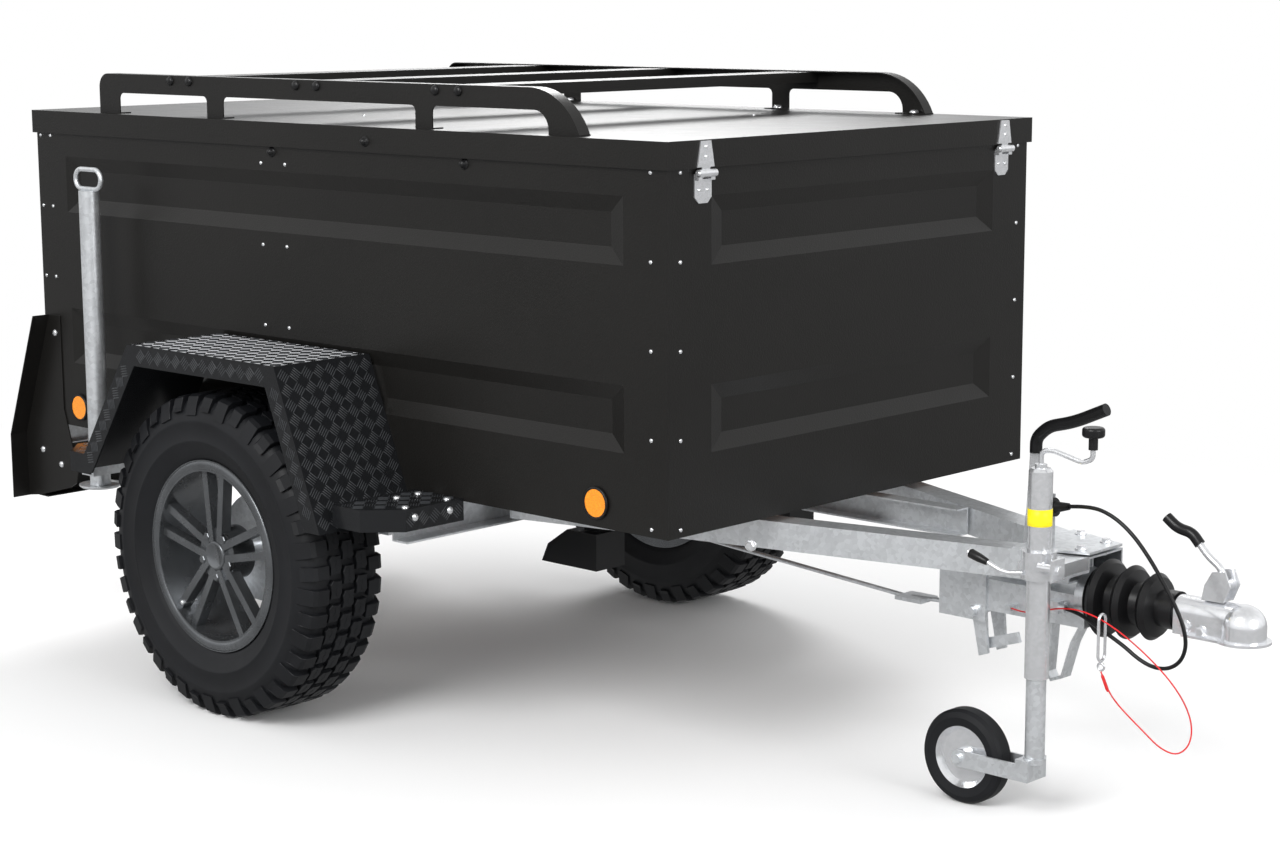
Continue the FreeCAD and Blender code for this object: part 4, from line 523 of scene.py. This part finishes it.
box_rivets = []
for row in ROWS:
    box_rivets += both_sides(BOX_FRONT - 0.045, row)
    box_rivets += both_sides(BOX_REAR + 0.016, row)
    box_rivets += both_sides(BOX_REAR + 0.058, row)
    for y in (-HALF + 0.037, HALF - 0.037):
        box_rivets.append(((BOX_FRONT, y, row), FRONT))
for row in STAY_ROWS:
    for shift in (-0.043, 0.043):
        box_rivets += both_sides(STAY_X + shift, row)
copies("box_rivets", rivet, box_rivets, plated, "chassis")

# %% [markdown]
# Dome nuts with black caps hold the lid's stays: two through each side wall, and one through the
# lid's skirt, which stands a little proud of the wall and turns with the lid.

# %% Black nuts
black_nuts = []
for x in (AXLE_X - 0.022, AXLE_X + 0.62):
    black_nuts += both_sides(x, WALL_TOP - 0.06)
copies("black_nuts", dome_nut, black_nuts, black_plastic, "chassis")
skirt_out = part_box("lid")[1][1] - HALF
skirt_nuts = [(Vector(place) + turn.col[2] * skirt_out, turn)
              for place, turn in both_sides(AXLE_X + 0.311, WALL_TOP - 0.024)]
copies("skirt_nuts", dome_nut, skirt_nuts, black_plastic, "lid")

# %% [markdown]
# The lid carries the rest of the small fasteners: two rivets in each leaf of its hinges, a
# pair of bolts with black caps at each crossbar, and a screw in each foot of the rails.

# %% Fasteners of the lid
lid_high = Vector(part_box("lid")[1])
rail_low, rail_high = (Vector(corner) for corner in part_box("roof_rails"))
HINGE_Y = 0.508
lid_rivets = [((lid_high.x + 0.003, side * HINGE_Y, lid_high.z - drop), FRONT)
              for side in (-1, 1) for drop in (0.014, 0.034)]
copies("lid_hinge_rivets", rivet, lid_rivets, plated, "lid")
wall_rivets = [((BOX_FRONT + 0.003, side * HINGE_Y + shift, lid_high.z - 0.1), FRONT)
               for side in (-1, 1) for shift in (-0.012, 0.012)]
copies("wall_hinge_rivets", rivet, wall_rivets, plated, "chassis")

BAR_PLACES = [BOX_REAR + reach for reach in (0.579, 1.046, 1.511)]
rail_bolts = []
for bar_x in BAR_PLACES:
    for shift in (-0.036, 0.036):
        rail_bolts.append(((bar_x + shift, rail_low.y, rail_high.z - 0.013), RIGHT))
        rail_bolts.append(((bar_x + shift, rail_high.y, rail_high.z - 0.013), LEFT))
cap = lathe("cap", [(0.0112, -0.001), (0.0112, 0.002), (0.0085, 0.0062), (0, 0.0072)], 16)
copies("rail_bolts", cap, rail_bolts, black_plastic, "lid")

FOOT_PLACES = [BOX_REAR + reach for reach in (0.29, 0.712, 1.437, 1.858)]
foot_screws = [((x, side * (HALF - 0.028), lid_high.z + 0.003), UP)
               for x in FOOT_PLACES for side in (-1, 1)]
copies("foot_screws", cap, foot_screws, plated, "lid")
seam_rivets = [((x, 0.3 * side, lid_high.z), UP)
               for x in (BOX_REAR + 0.9, BOX_REAR + 1.6) for side in (-1, 1)]
copies("lid_rivets", rivet, seam_rivets, plated, "lid")

# %% [markdown]
# The fenders and steps are five-bar tread plate: small groups of five raised bars, each group turned a
# quarter from its neighbours. A face is given by one corner, its two directions and its two lengths; the
# bars are laid over it in a chequered grid, clear of its edges. The flat top of each fender gets a thin
# light grey sheet, a painted reflection of the white sky in its glossy black paint, with a dark tile in
# the plate's own black paint under each group of bars.

# %% One bar, and the grid of bars
PITCH, BAR_GAP, BARS_IN_GROUP = 0.033, 0.0056, 5
BAR_LONG, BAR_WIDE, BAR_TALL = 0.0128, 0.0013, 0.0013


def lozenge():
    """One raised bar: a long hexagon that rises to a short ridge."""
    shape = bmesh.new()
    ring = [(-1, 0), (-0.7, -1), (0.7, -1), (1, 0), (0.7, 1), (-0.7, 1)]
    base = [shape.verts.new((x * BAR_LONG, y * BAR_WIDE, 0)) for x, y in ring]
    ridge = [shape.verts.new((x * BAR_LONG, 0, BAR_TALL)) for x in (-0.65, 0.65)]
    for corners in ((base[1], base[2], ridge[1], ridge[0]), (base[4], base[5], ridge[0], ridge[1]),
                    (base[0], base[1], ridge[0]), (base[5], base[0], ridge[0]),
                    (base[2], base[3], ridge[1]), (base[3], base[4], ridge[1])):
        shape.faces.new(corners)
    return mesh_from("lozenge", shape, True)


def bars_on(corner, along, across, inside=None):
    """The places of all bars on one flat face."""
    corner, along, across = Vector(corner), Vector(along), Vector(across)
    out = along.cross(across).normalized()
    u, v = along.normalized(), across.normalized()
    columns, rows = int(along.length / PITCH), int(across.length / PITCH)
    edge_u = (along.length - columns * PITCH) / 2
    edge_v = (across.length - rows * PITCH) / 2
    places = []
    for column in range(columns):
        for row in range(rows):
            middle = (corner + u * (edge_u + (column + 0.5) * PITCH)
                      + v * (edge_v + (row + 0.5) * PITCH))
            if inside and not inside(middle):
                continue
            lean = math.pi / 4 if (column + row) % 2 else -math.pi / 4
            run = u * math.cos(lean) + v * math.sin(lean)
            side = out.cross(run)
            places += [(middle + side * BAR_GAP * (k - BARS_IN_GROUP // 2), facing(run, out))
                       for k in range(BARS_IN_GROUP)]
    return places


# %% [markdown]
# Seen from the side, a fender is a line with four corners: it rises behind the wheel, runs level
# over it and falls in front. The same line gives the bent plate and the lip that hangs from its
# outer edge. The steps are flat boxes before and behind, with their outer corners cut off.

# %% Faces of the fenders and steps
fender_high = Vector(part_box("fenders")[1])
OUTER, FENDER_TOP = fender_high.y, fender_high.z
REAR_FOOT, REAR_TOP = (AXLE_X - 0.445, 0.521), (AXLE_X - 0.23, FENDER_TOP)
FRONT_TOP, FRONT_FOOT = (AXLE_X + 0.3, FENDER_TOP), (AXLE_X + 0.44, 0.491)
FENDER_RUNS = [(REAR_FOOT, REAR_TOP), (REAR_TOP, FRONT_TOP), (FRONT_TOP, FRONT_FOOT)]
STEP_TOP, STEP_FRONT, STEP_REAR, STEP_CORNER = 0.553, AXLE_X + 0.6, AXLE_X - 0.594, 0.068
STEP_REACH, STEP_DEEP, LIP = 0.235, 0.044, 0.047


def fender_faces(side):
    """The bars on the bent plate's three faces, on one side of the trailer."""
    near, far = (HALF, OUTER) if side > 0 else (-OUTER, -HALF)
    places = []
    for (x1, z1), (x2, z2) in FENDER_RUNS:
        run = Vector((x2 - x1, 0, z2 - z1))
        places += bars_on((x1, near, z1), run, (0, far - near, 0))
    return places


def lip_faces(side):
    """A row of bars along the lip, drawn in from its mitred corners."""
    places = []
    y = side * OUTER
    middle = Vector((AXLE_X, y, 0.4))
    for (x1, z1), (x2, z2) in FENDER_RUNS:
        start, end = Vector((x1, y, z1)), Vector((x2, y, z2))
        run = (end - start).normalized()
        inwards = run.cross(Vector((0, 1, 0))).normalized()
        if inwards.dot(middle - start) < 0:
            inwards = -inwards
        start, end = start + run * 0.03, end - run * 0.03
        corner = start + inwards * (LIP - PITCH) / 2
        out = Vector((0, side, 0))
        if run.cross(inwards).dot(out) > 0:
            places += bars_on(corner, end - start, inwards * (PITCH + 0.001))
        else:
            places += bars_on(corner + inwards * PITCH, end - start, -inwards * (PITCH + 0.001))
    return places


def step_faces(side):
    """The tops of both steps and the front face of the front one."""
    wall, edge = side * HALF, side * (HALF + STEP_REACH)
    near, far = (edge, wall) if side < 0 else (wall, edge)
    places = []
    for x1, x2, tip in ((FRONT_FOOT[0] + 0.002, STEP_FRONT, STEP_FRONT),
                        (STEP_REAR, REAR_FOOT[0] - 0.002, STEP_REAR)):
        def on_step(point, tip=tip):
            return abs(point.x - tip) + (HALF + STEP_REACH - abs(point.y)) > STEP_CORNER + 0.02
        places += bars_on((x1, near, STEP_TOP), (x2 - x1, 0, 0), (0, far - near, 0), on_step)
    corner = (near, far - STEP_CORNER) if side > 0 else (near + STEP_CORNER, far)
    places += bars_on((STEP_FRONT, corner[0], STEP_TOP - STEP_DEEP), (0, corner[1] - corner[0], 0),
                      (0, 0, STEP_DEEP - 0.004))
    return places


def reflection_top(side):
    """The light sheet on the fender's top, a painted reflection of the sky, and the dark tiles that carry
    its bars.
    """
    near, far = (HALF, OUTER) if side > 0 else (-OUTER, -HALF)
    rear, front, edge = REAR_TOP[0] + 0.008, FRONT_TOP[0] - 0.008, 0.008
    outline = [(rear, near + edge), (front, near + edge), (front, far - edge), (rear, far - edge)]
    sheet = prism("reflection_sheet", outline, -0.001, 0.0003)
    groups = bars_on((REAR_TOP[0], near, FENDER_TOP), (FRONT_TOP[0] - REAR_TOP[0], 0, 0),
                     (0, far - near, 0))
    return sheet, groups[BARS_IN_GROUP // 2::BARS_IN_GROUP]


bar = lozenge()
tile = prism("tile", rectangle(0.0118, 0.0098), 0, 0.0009, 0.0004)
for side, hand in ((-1, "right"), (1, "left")):
    sheet, tiles = reflection_top(side)
    # The light grey sheet is a painted reflection of the sky on the glossy black top; the tiles keep the
    # plate's own black paint.
    copies(f"fender_top_{hand}", sheet, [((0, 0, FENDER_TOP), UP)], sky_reflection_plate, "chassis")
    copies(f"fender_tiles_{hand}", tile, tiles, plate_paint, "chassis")
    # The bars carry the lighter copy of the plate paint, a painted highlight.
    copies(f"fender_bars_{hand}", bar, fender_faces(side) + lip_faces(side), lit_bar_paint, "chassis")
    copies(f"step_bars_{hand}", bar, step_faces(side), lit_bar_paint, "chassis")

# %% [markdown]
# The plates are held by screws with low round heads: four on each front step, two in its front
# face, and three through each guard of the tail lamps.

# %% Screws of the fenders, steps and guards
plate_screws = []
for side, turn in ((-1, RIGHT), (1, LEFT)):
    for x, reach in ((-0.113, 0.092), (-0.02, 0.03), (-0.02, 0.15), (-0.113, 0.03)):
        plate_screws.append(((STEP_FRONT + x, side * (HALF + reach), STEP_TOP), UP))
    for reach in (0.04, 0.14):
        plate_screws.append(((STEP_FRONT, side * (HALF + reach), STEP_TOP - 0.02), FRONT))
    for x, z in ((BOX_REAR - 0.03, 0.47), (BOX_REAR + 0.05, 0.44), (BOX_REAR + 0.045, 0.78)):
        plate_screws.append(((x, side * (HALF + 0.003), z), turn))
copies("plate_screws", screw_head, plate_screws, plated, "chassis")

# %% [markdown]
# The all-terrain tyre is a carcass, turned on the lathe with raised rings on its wall, and five
# rows of rubber blocks. The blocks of the middle rows are bent hexagons that lock into each
# other; those of the outer rows reach down the shoulder, long and short in turn.

# %% Tyre
WHEEL_Y = (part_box("tyre_left")[0][1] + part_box("tyre_left")[1][1]) / 2
TYRE_R = (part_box("tyre_right")[1][2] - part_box("tyre_right")[0][2]) / 2
TREAD_DEEP, MIDDLE_ROW, OUTER_ROW = 0.011, 0.0365, 0.0745
CARCASS = TYRE_R - TREAD_DEEP
TYRE_HALF = (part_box("tyre_left")[1][1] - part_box("tyre_left")[0][1]) / 2


def carcass():
    """The bare tyre with the raised rings of its walls, about its own axle."""
    side = [(0.2035, 0.062), (0.2035, 0.0845), (0.2215, 0.086), (0.2275, 0.094), (0.236, 0.0955),
            (0.251, TYRE_HALF - 0.006), (0.262, TYRE_HALF - 0.003), (0.264, TYRE_HALF - 0.0012),
            (0.268, TYRE_HALF - 0.0012), (0.270, TYRE_HALF - 0.0022), (0.288, TYRE_HALF - 0.0008),
            (0.306, TYRE_HALF - 0.0022), (0.3085, TYRE_HALF - 0.0008), (0.314, TYRE_HALF - 0.0015),
            (0.326, TYRE_HALF - 0.006), (0.342, TYRE_HALF - 0.012), (CARCASS - 0.006, TYRE_HALF - 0.022),
            (CARCASS, TYRE_HALF - 0.038)]
    near = [(radius, -y) for radius, y in side]
    far = [(radius, y) for radius, y in reversed(side)]
    return lathe("carcass", near + far + near[:1], 144)


def shoulder_block(name, long, tall):
    """A block that wraps round the shoulder: an outline across the tyre, drawn out lengthwise."""
    drop = TYRE_HALF - OUTER_ROW
    across = [(-0.018, 0.0), (-0.018, TREAD_DEEP + 0.004), (0.012, TREAD_DEEP + 0.003),
              (0.0225, TREAD_DEEP - 0.002), (drop - 0.008, -0.012), (drop - 0.0015, -0.012 - tall),
              (drop - 0.009, -0.014 - tall), (0.012, -0.004)]
    shape = bmesh.new()
    ends = [[shape.verts.new((x, y, z)) for y, z in across] for x in (-long / 2, long / 2)]
    faces = [shape.faces.new(ends[0]), shape.faces.new(ends[1][::-1])]
    for k in range(len(across)):
        ahead = (k + 1) % len(across)
        shape.faces.new((ends[0][ahead], ends[0][k], ends[1][k], ends[1][ahead]))
    bmesh.ops.bevel(shape, geom=[edge for face in faces for edge in face.edges], offset=0.0012,
                    segments=1, affect="EDGES")
    return mesh_from(name, shape, False)


def tread_places(count, y, phase, mirror=False):
    """Places round the tyre, with a block's Z outwards and its Y across the tyre."""
    places = []
    for index in range(count):
        angle = 2 * math.pi * (index + phase) / count
        out = Vector((math.cos(angle), 0, math.sin(angle)))
        along = Vector((-math.sin(angle), 0, math.cos(angle)))
        if mirror:
            along = -along
        places.append((out * (CARCASS - 0.004) + Vector((0, y, 0)), facing(along, out)))
    return places


# %% [markdown]
# The middle blocks are cut by a wavy slit, the sipe. Here it is a thin raised wave, which shows as
# the same fine line from any distance. The valve's stem is turned on the lathe as well.

# %% Blocks of the tread
BLOCKS = 42
lock = [(-0.021, -0.009), (-0.012, -0.0165), (0.006, -0.0125), (0.0215, -0.015), (0.019, 0.0),
        (0.0215, 0.0105), (0.008, 0.0165), (-0.006, 0.0125), (-0.019, 0.0155), (-0.0165, 0.002)]
centre_block = prism("centre_block", lock, 0, TREAD_DEEP + 0.0038, 0.0012)
sipe = [(-0.014, -0.0006), (-0.004, 0.0016), (0.004, -0.0022), (0.014, 0.0006), (0.014, 0.0014),
        (0.004, -0.0014), (-0.004, 0.0024), (-0.014, 0.0002)]
ridge = prism("ridge", sipe, TREAD_DEEP + 0.0034, TREAD_DEEP + 0.0043)
long_lug = shoulder_block("long_lug", 0.036, 0.02)
short_lug = shoulder_block("short_lug", 0.031, 0.009)
stem = lathe("stem", [(0.004, 0), (0.004, 0.03), (0.0055, 0.03), (0.0055, 0.042), (0, 0.043)], 12)


def at_wheel(places, side):
    """Places round the axle, moved out to one road wheel."""
    centre = Vector((AXLE_X, side * WHEEL_Y, TYRE_R))
    return [(centre + point, turn) for point, turn in places]


def joined(name, objects, finish, body):
    """Several meshes of one finish made into one piece."""
    whole = bmesh.new()
    for thing in objects:
        whole.from_mesh(thing.data)
        bpy.data.objects.remove(thing)
    for face in whole.faces:
        face.material_index = 0
    mesh = bpy.data.meshes.new(name)
    whole.to_mesh(mesh)
    whole.free()
    mesh.materials.append(finish)
    piece = bpy.data.objects.new(name, mesh)
    bpy.context.collection.objects.link(piece)
    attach(piece, body)
    return piece


# %% [markdown]
# Each road tyre is put together from its carcass and its rows of blocks. The parts become one
# mesh, which takes the place of the engineering model's plain tyre and turns with its wheel.

# %% Both tyres
ON_AXLE = Matrix.Rotation(-math.pi / 2, 3, "X")
for side, hand in ((-1, "right"), (1, "left")):
    body = "wheel_" + hand
    centre = Vector((AXLE_X, side * WHEEL_Y, TYRE_R))
    wall = copies("carcass_" + hand, carcass(), [(centre, ON_AXLE)], tyre_rubber, body)
    rows = (tread_places(BLOCKS, 0, 0) + tread_places(BLOCKS, -MIDDLE_ROW, 0.5, True)
            + tread_places(BLOCKS, MIDDLE_ROW, 0.5))
    tread = copies("tread_" + hand, centre_block, at_wheel(rows, side), tyre_rubber, body)
    ridges = copies("ridges_" + hand, ridge, at_wheel(rows, side), tyre_rubber, body)
    long_places, short_places = [], []
    for row_side in (-1, 1):
        lugs = tread_places(BLOCKS, row_side * OUTER_ROW, 0.25, row_side > 0)
        long_places += lugs[1::2]
        short_places += lugs[::2]
    longs = copies("long_lugs_" + hand, long_lug, at_wheel(long_places, side), tyre_rubber, body)
    shorts = copies("short_lugs_" + hand, short_lug, at_wheel(short_places, side), tyre_rubber, body)
    tyre = joined("tread_tyre_" + hand, [wall, tread, ridges, longs, shorts], tyre_rubber, body)
    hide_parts("tyre_" + hand)
print("tyres made")

# %% [markdown]
# The cast wheel gets what the engineering model leaves out: a rounded outer lip, a blank hub cap with a
# raised ring, five wheel bolts and a valve. Each bolt sits in a black cup, a painted shade for the recess
# round the bolt.

# %% Wheel details
RIM_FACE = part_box("rim_left")[1][1]
lip = lathe("lip", [(0.1955, -0.012), (0.1975, -0.001), (0.203, 0.002), (0.2145, 0.0022), (0.2205, -0.001),
                    (0.2212, -0.006), (0.218, -0.0075), (0.1955, -0.012)], 96)
hub_cap = lathe("hub_cap", [(0.0335, -0.02), (0.0335, 0.001), (0.031, 0.0035), (0.027, 0.0035),
                            (0.0255, 0.0015), (0, 0.0022)], 48)
# A sunk cup under each bolt, which takes a black finish as painted shade in the bolt's recess.
bolt_shade_cup = lathe("bolt_shade_cup", [(0.0125, -0.004), (0.0125, 0.0012), (0.0105, 0.0018), (0.0098, -0.0035),
                                (0, -0.0035)], 20)
HUB_SUNK, WELL_SUNK, BOLT_CIRCLE, BOLTS = 0.012, 0.0055, 0.05, 5
BOLT_ANGLES = [2 * math.pi * (k + 0.5) / BOLTS + math.pi / 2 for k in range(BOLTS)]
for side, hand, turn in ((-1, "right", RIGHT), (1, "left", LEFT)):
    body = "wheel_" + hand
    face = Vector((AXLE_X, side * RIM_FACE, TYRE_R))
    sunk = face - Vector((0, side * HUB_SUNK, 0))
    copies("wheel_lip_" + hand, lip, [(face, turn)], rim_paint, body)
    copies("hub_cap_" + hand, hub_cap, [(sunk, turn)], rim_paint, body)
    ring = [(sunk + Vector((BOLT_CIRCLE * math.cos(angle), -side * WELL_SUNK,
                            BOLT_CIRCLE * math.sin(angle))), turn) for angle in BOLT_ANGLES]
    # The black finish on the cups is painted shade in the recesses, not a plastic part.
    copies("bolt_wells_" + hand, bolt_shade_cup, ring, black_plastic, body)
    copies("wheel_bolts_" + hand, bolt_head, ring, rim_paint, body)
    valve = face + Vector((-0.122, -side * 0.045, -0.128))
    copies("valve_" + hand, stem, [(valve, turn)], plated, body)

# %% [markdown]
# The drawbar and coupling are bolted together with plated hexagon bolts on washers. The jockey
# tube has its blank yellow band, and the loose end of the breakaway wire its red sleeve.

# %% Bolts of the drawbar
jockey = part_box("jockey_tube")
JOCKEY_X, JOCKEY_Y = (jockey[0][0] + jockey[1][0]) / 2, (jockey[0][1] + jockey[1][1]) / 2
JOCKEY_R = (jockey[1][0] - jockey[0][0]) / 2
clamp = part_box("jockey_clamp")
HEAD_TOP = 0.526
slope = facing((0.92, 0.39, 0), (0.39, -0.92, 0))
bolts = [((0.672, -0.4035, 0.51), slope)]
bolts += [((x, y, HEAD_TOP), UP) for x, y in ((1.155, -0.075), (1.235, -0.045), (1.235, 0.045),
                                              (1.155, 0.075))]
bolts += [((0.983, -0.0565, 0.36), RIGHT), ((1.2, -0.0505, 0.4), RIGHT)]
bolts += [((1.47, -0.031, 0.405), RIGHT), ((1.505, -0.031, 0.4), RIGHT)]
copies("bolt_washers", washer, bolts, plated, "chassis")
copies("bolt_heads", bolt_head, bolts, plated, "chassis")
nut_place = (clamp[1][0] - 0.002, JOCKEY_Y - 0.03, clamp[0][2] + 0.03)
copies("clamp_washer", square_washer, [(nut_place, FRONT)], plated, "chassis")
copies("clamp_bolt", bolt_head, [(nut_place, FRONT)], plated, "chassis")

# %% Trim of the jockey tube and the wire
BAND_LOW, BAND_TALL = 0.598, 0.034
band = lathe("band", [(JOCKEY_R, 0), (JOCKEY_R + 0.0006, 0.0002),
                      (JOCKEY_R + 0.0006, BAND_TALL - 0.0002), (JOCKEY_R, BAND_TALL)], 48)
tip = lathe("tip", [(0.0055, -0.002), (0.0068, 0), (0.0092, 0.02), (0.0098, 0.04), (0.007, 0.048),
                    (0, 0.05)], 20)
tip_place = Vector((JOCKEY_X - 0.0905, JOCKEY_Y - 0.046, clamp[0][2] + 0.026))
copies("lever_tip", tip, [(tip_place, facing((0, 1, 0), (-1, 0, 0.3)))], black_plastic, "chassis")
copies("yellow_band", band, [((JOCKEY_X, JOCKEY_Y, BAND_LOW), UP)], yellow_band, "chassis")
sleeve = lathe("sleeve", [(0.0016, 0), (0.0032, 0.004), (0.0034, 0.03), (0.0018, 0.036)], 14)
end, before = Vector(WIRE_ROUTE[-1]), Vector(WIRE_ROUTE[-2])
back = (before - end).normalized()
sleeve_place = (end + back * 0.006, facing(back.orthogonal(), back))
copies("wire_sleeve", sleeve, [sleeve_place], red_sleeve, "chassis")

# %% [markdown]
# The round side reflectors sit in a black ring. The rubber bellows, the grips and the jockey
# wheel need no more than their finish.

# %% Reflector rings
reflector_ring = lathe("reflector_ring", [(0.0305, -0.0005), (0.034, 0.001), (0.034, 0.0062),
                                          (0.0315, 0.0074), (0.0292, 0.0066)], 40)
rings = []
for x in (BOX_FRONT - 0.198, BOX_REAR + 0.142):
    rings += both_sides(x, BASE + 0.051)
copies("reflector_rings", reflector_ring, rings, black_plastic, "chassis")

# %% [markdown]
# The stage is a pale floor that runs off into white. The camera sees a plain white world behind
# it. Reflections see a darker floor and a sky that is brightest a third of the way up, so that
# the black walls stay black and only the slopes that face upwards catch the light.

# %% Stage and light
SKY_STRENGTH, FLOOR_IN_MIRRORS = 1.0, 0.38
FADE_STARTS, FADE_ENDS = 1.3, 3.4


def pale_floor():
    """A wide floor; seen by the camera, it fades to plain white away from the trailer."""
    size = 60
    mesh = bpy.data.meshes.new("floor")
    corners = [(-size, -size, 0), (size, -size, 0), (size, size, 0), (-size, size, 0)]
    mesh.from_pydata(corners, [], [(0, 1, 2, 3)])
    floor = bpy.data.objects.new("floor", mesh)
    bpy.context.collection.objects.link(floor)
    material, tree, shader = new_material("floor_paper", (0.9, 0.9, 0.9), 0.9)
    mesh.materials.append(material)
    glow = tree.nodes.new("ShaderNodeEmission")
    distance = tree.nodes.new("ShaderNodeVectorMath")
    distance.operation = "LENGTH"
    tree.links.new(coordinates(tree, (0.75, 1, 1)), distance.inputs[0])
    fade = tree.nodes.new("ShaderNodeMapRange")
    fade.inputs["From Min"].default_value = FADE_STARTS
    fade.inputs["From Max"].default_value = FADE_ENDS
    tree.links.new(distance.outputs["Value"], fade.inputs["Value"])
    seen = tree.nodes.new("ShaderNodeLightPath")
    both = tree.nodes.new("ShaderNodeMath")
    both.operation = "MULTIPLY"
    tree.links.new(fade.outputs["Result"], both.inputs[0])
    tree.links.new(seen.outputs["Is Camera Ray"], both.inputs[1])
    mix = tree.nodes.new("ShaderNodeMixShader")
    tree.links.new(both.outputs[0], mix.inputs["Fac"])
    tree.links.new(shader.outputs[0], mix.inputs[1])
    tree.links.new(glow.outputs[0], mix.inputs[2])
    dark = tree.nodes.new("ShaderNodeEmission")
    dark.inputs["Strength"].default_value = FLOOR_IN_MIRRORS
    mirrored = tree.nodes.new("ShaderNodeMixShader")
    tree.links.new(seen.outputs["Is Glossy Ray"], mirrored.inputs["Fac"])
    tree.links.new(mix.outputs[0], mirrored.inputs[1])
    tree.links.new(dark.outputs[0], mirrored.inputs[2])
    tree.links.new(mirrored.outputs[0], tree.nodes["Material Output"].inputs["Surface"])
    return floor


def soft_lamp(name, place, aim, size, power):
    """A round soft lamp that looks at a point."""
    data = bpy.data.lights.new(name, "AREA")
    data.shape = "DISK"
    data.size = size
    data.energy = power
    lamp = bpy.data.objects.new(name, data)
    lamp.location = place
    lamp.rotation_euler = (Vector(aim) - Vector(place)).to_track_quat("-Z", "Y").to_euler()
    bpy.context.collection.objects.link(lamp)


def white_world():
    """White for the camera, and for everything else a sky that is brightest low down."""
    world = bpy.data.worlds.new("studio")
    bpy.context.scene.world = world
    world.use_nodes = True
    tree = world.node_tree
    tree.nodes.clear()
    path = tree.nodes.new("ShaderNodeLightPath")
    source = tree.nodes.new("ShaderNodeTexCoord")
    parts = tree.nodes.new("ShaderNodeSeparateXYZ")
    tree.links.new(source.outputs["Generated"], parts.inputs[0])
    sky = ramp(tree, parts.outputs["Z"], (0.0, (0.75, 0.76, 0.78)), (0.35, (1, 1, 1)),
               (1.0, (0.6, 0.6, 0.6)))
    glow = tree.nodes.new("ShaderNodeBackground")
    glow.inputs["Strength"].default_value = SKY_STRENGTH
    tree.links.new(sky, glow.inputs["Color"])
    plain = tree.nodes.new("ShaderNodeBackground")
    plain.inputs["Color"].default_value = (1, 1, 1, 1)
    mix = tree.nodes.new("ShaderNodeMixShader")
    out = tree.nodes.new("ShaderNodeOutputWorld")
    tree.links.new(path.outputs["Is Camera Ray"], mix.inputs["Fac"])
    tree.links.new(glow.outputs[0], mix.inputs[1])
    tree.links.new(plain.outputs[0], mix.inputs[2])
    tree.links.new(mix.outputs[0], out.inputs["Surface"])


pale_floor()
white_world()
soft_lamp("key", (1.5, -6.0, 5.0), (0, 0, 0.6), 4.0, 380)
soft_lamp("fill", (6.5, -0.5, 2.6), (0.8, 0, 0.5), 3.0, 120)
soft_lamp("rim", (-4.0, 4.0, 4.5), (0, 0, 0.8), 3.0, 220)
bpy.context.scene.view_settings.view_transform = "Standard"
print("stage and 3 lamps")
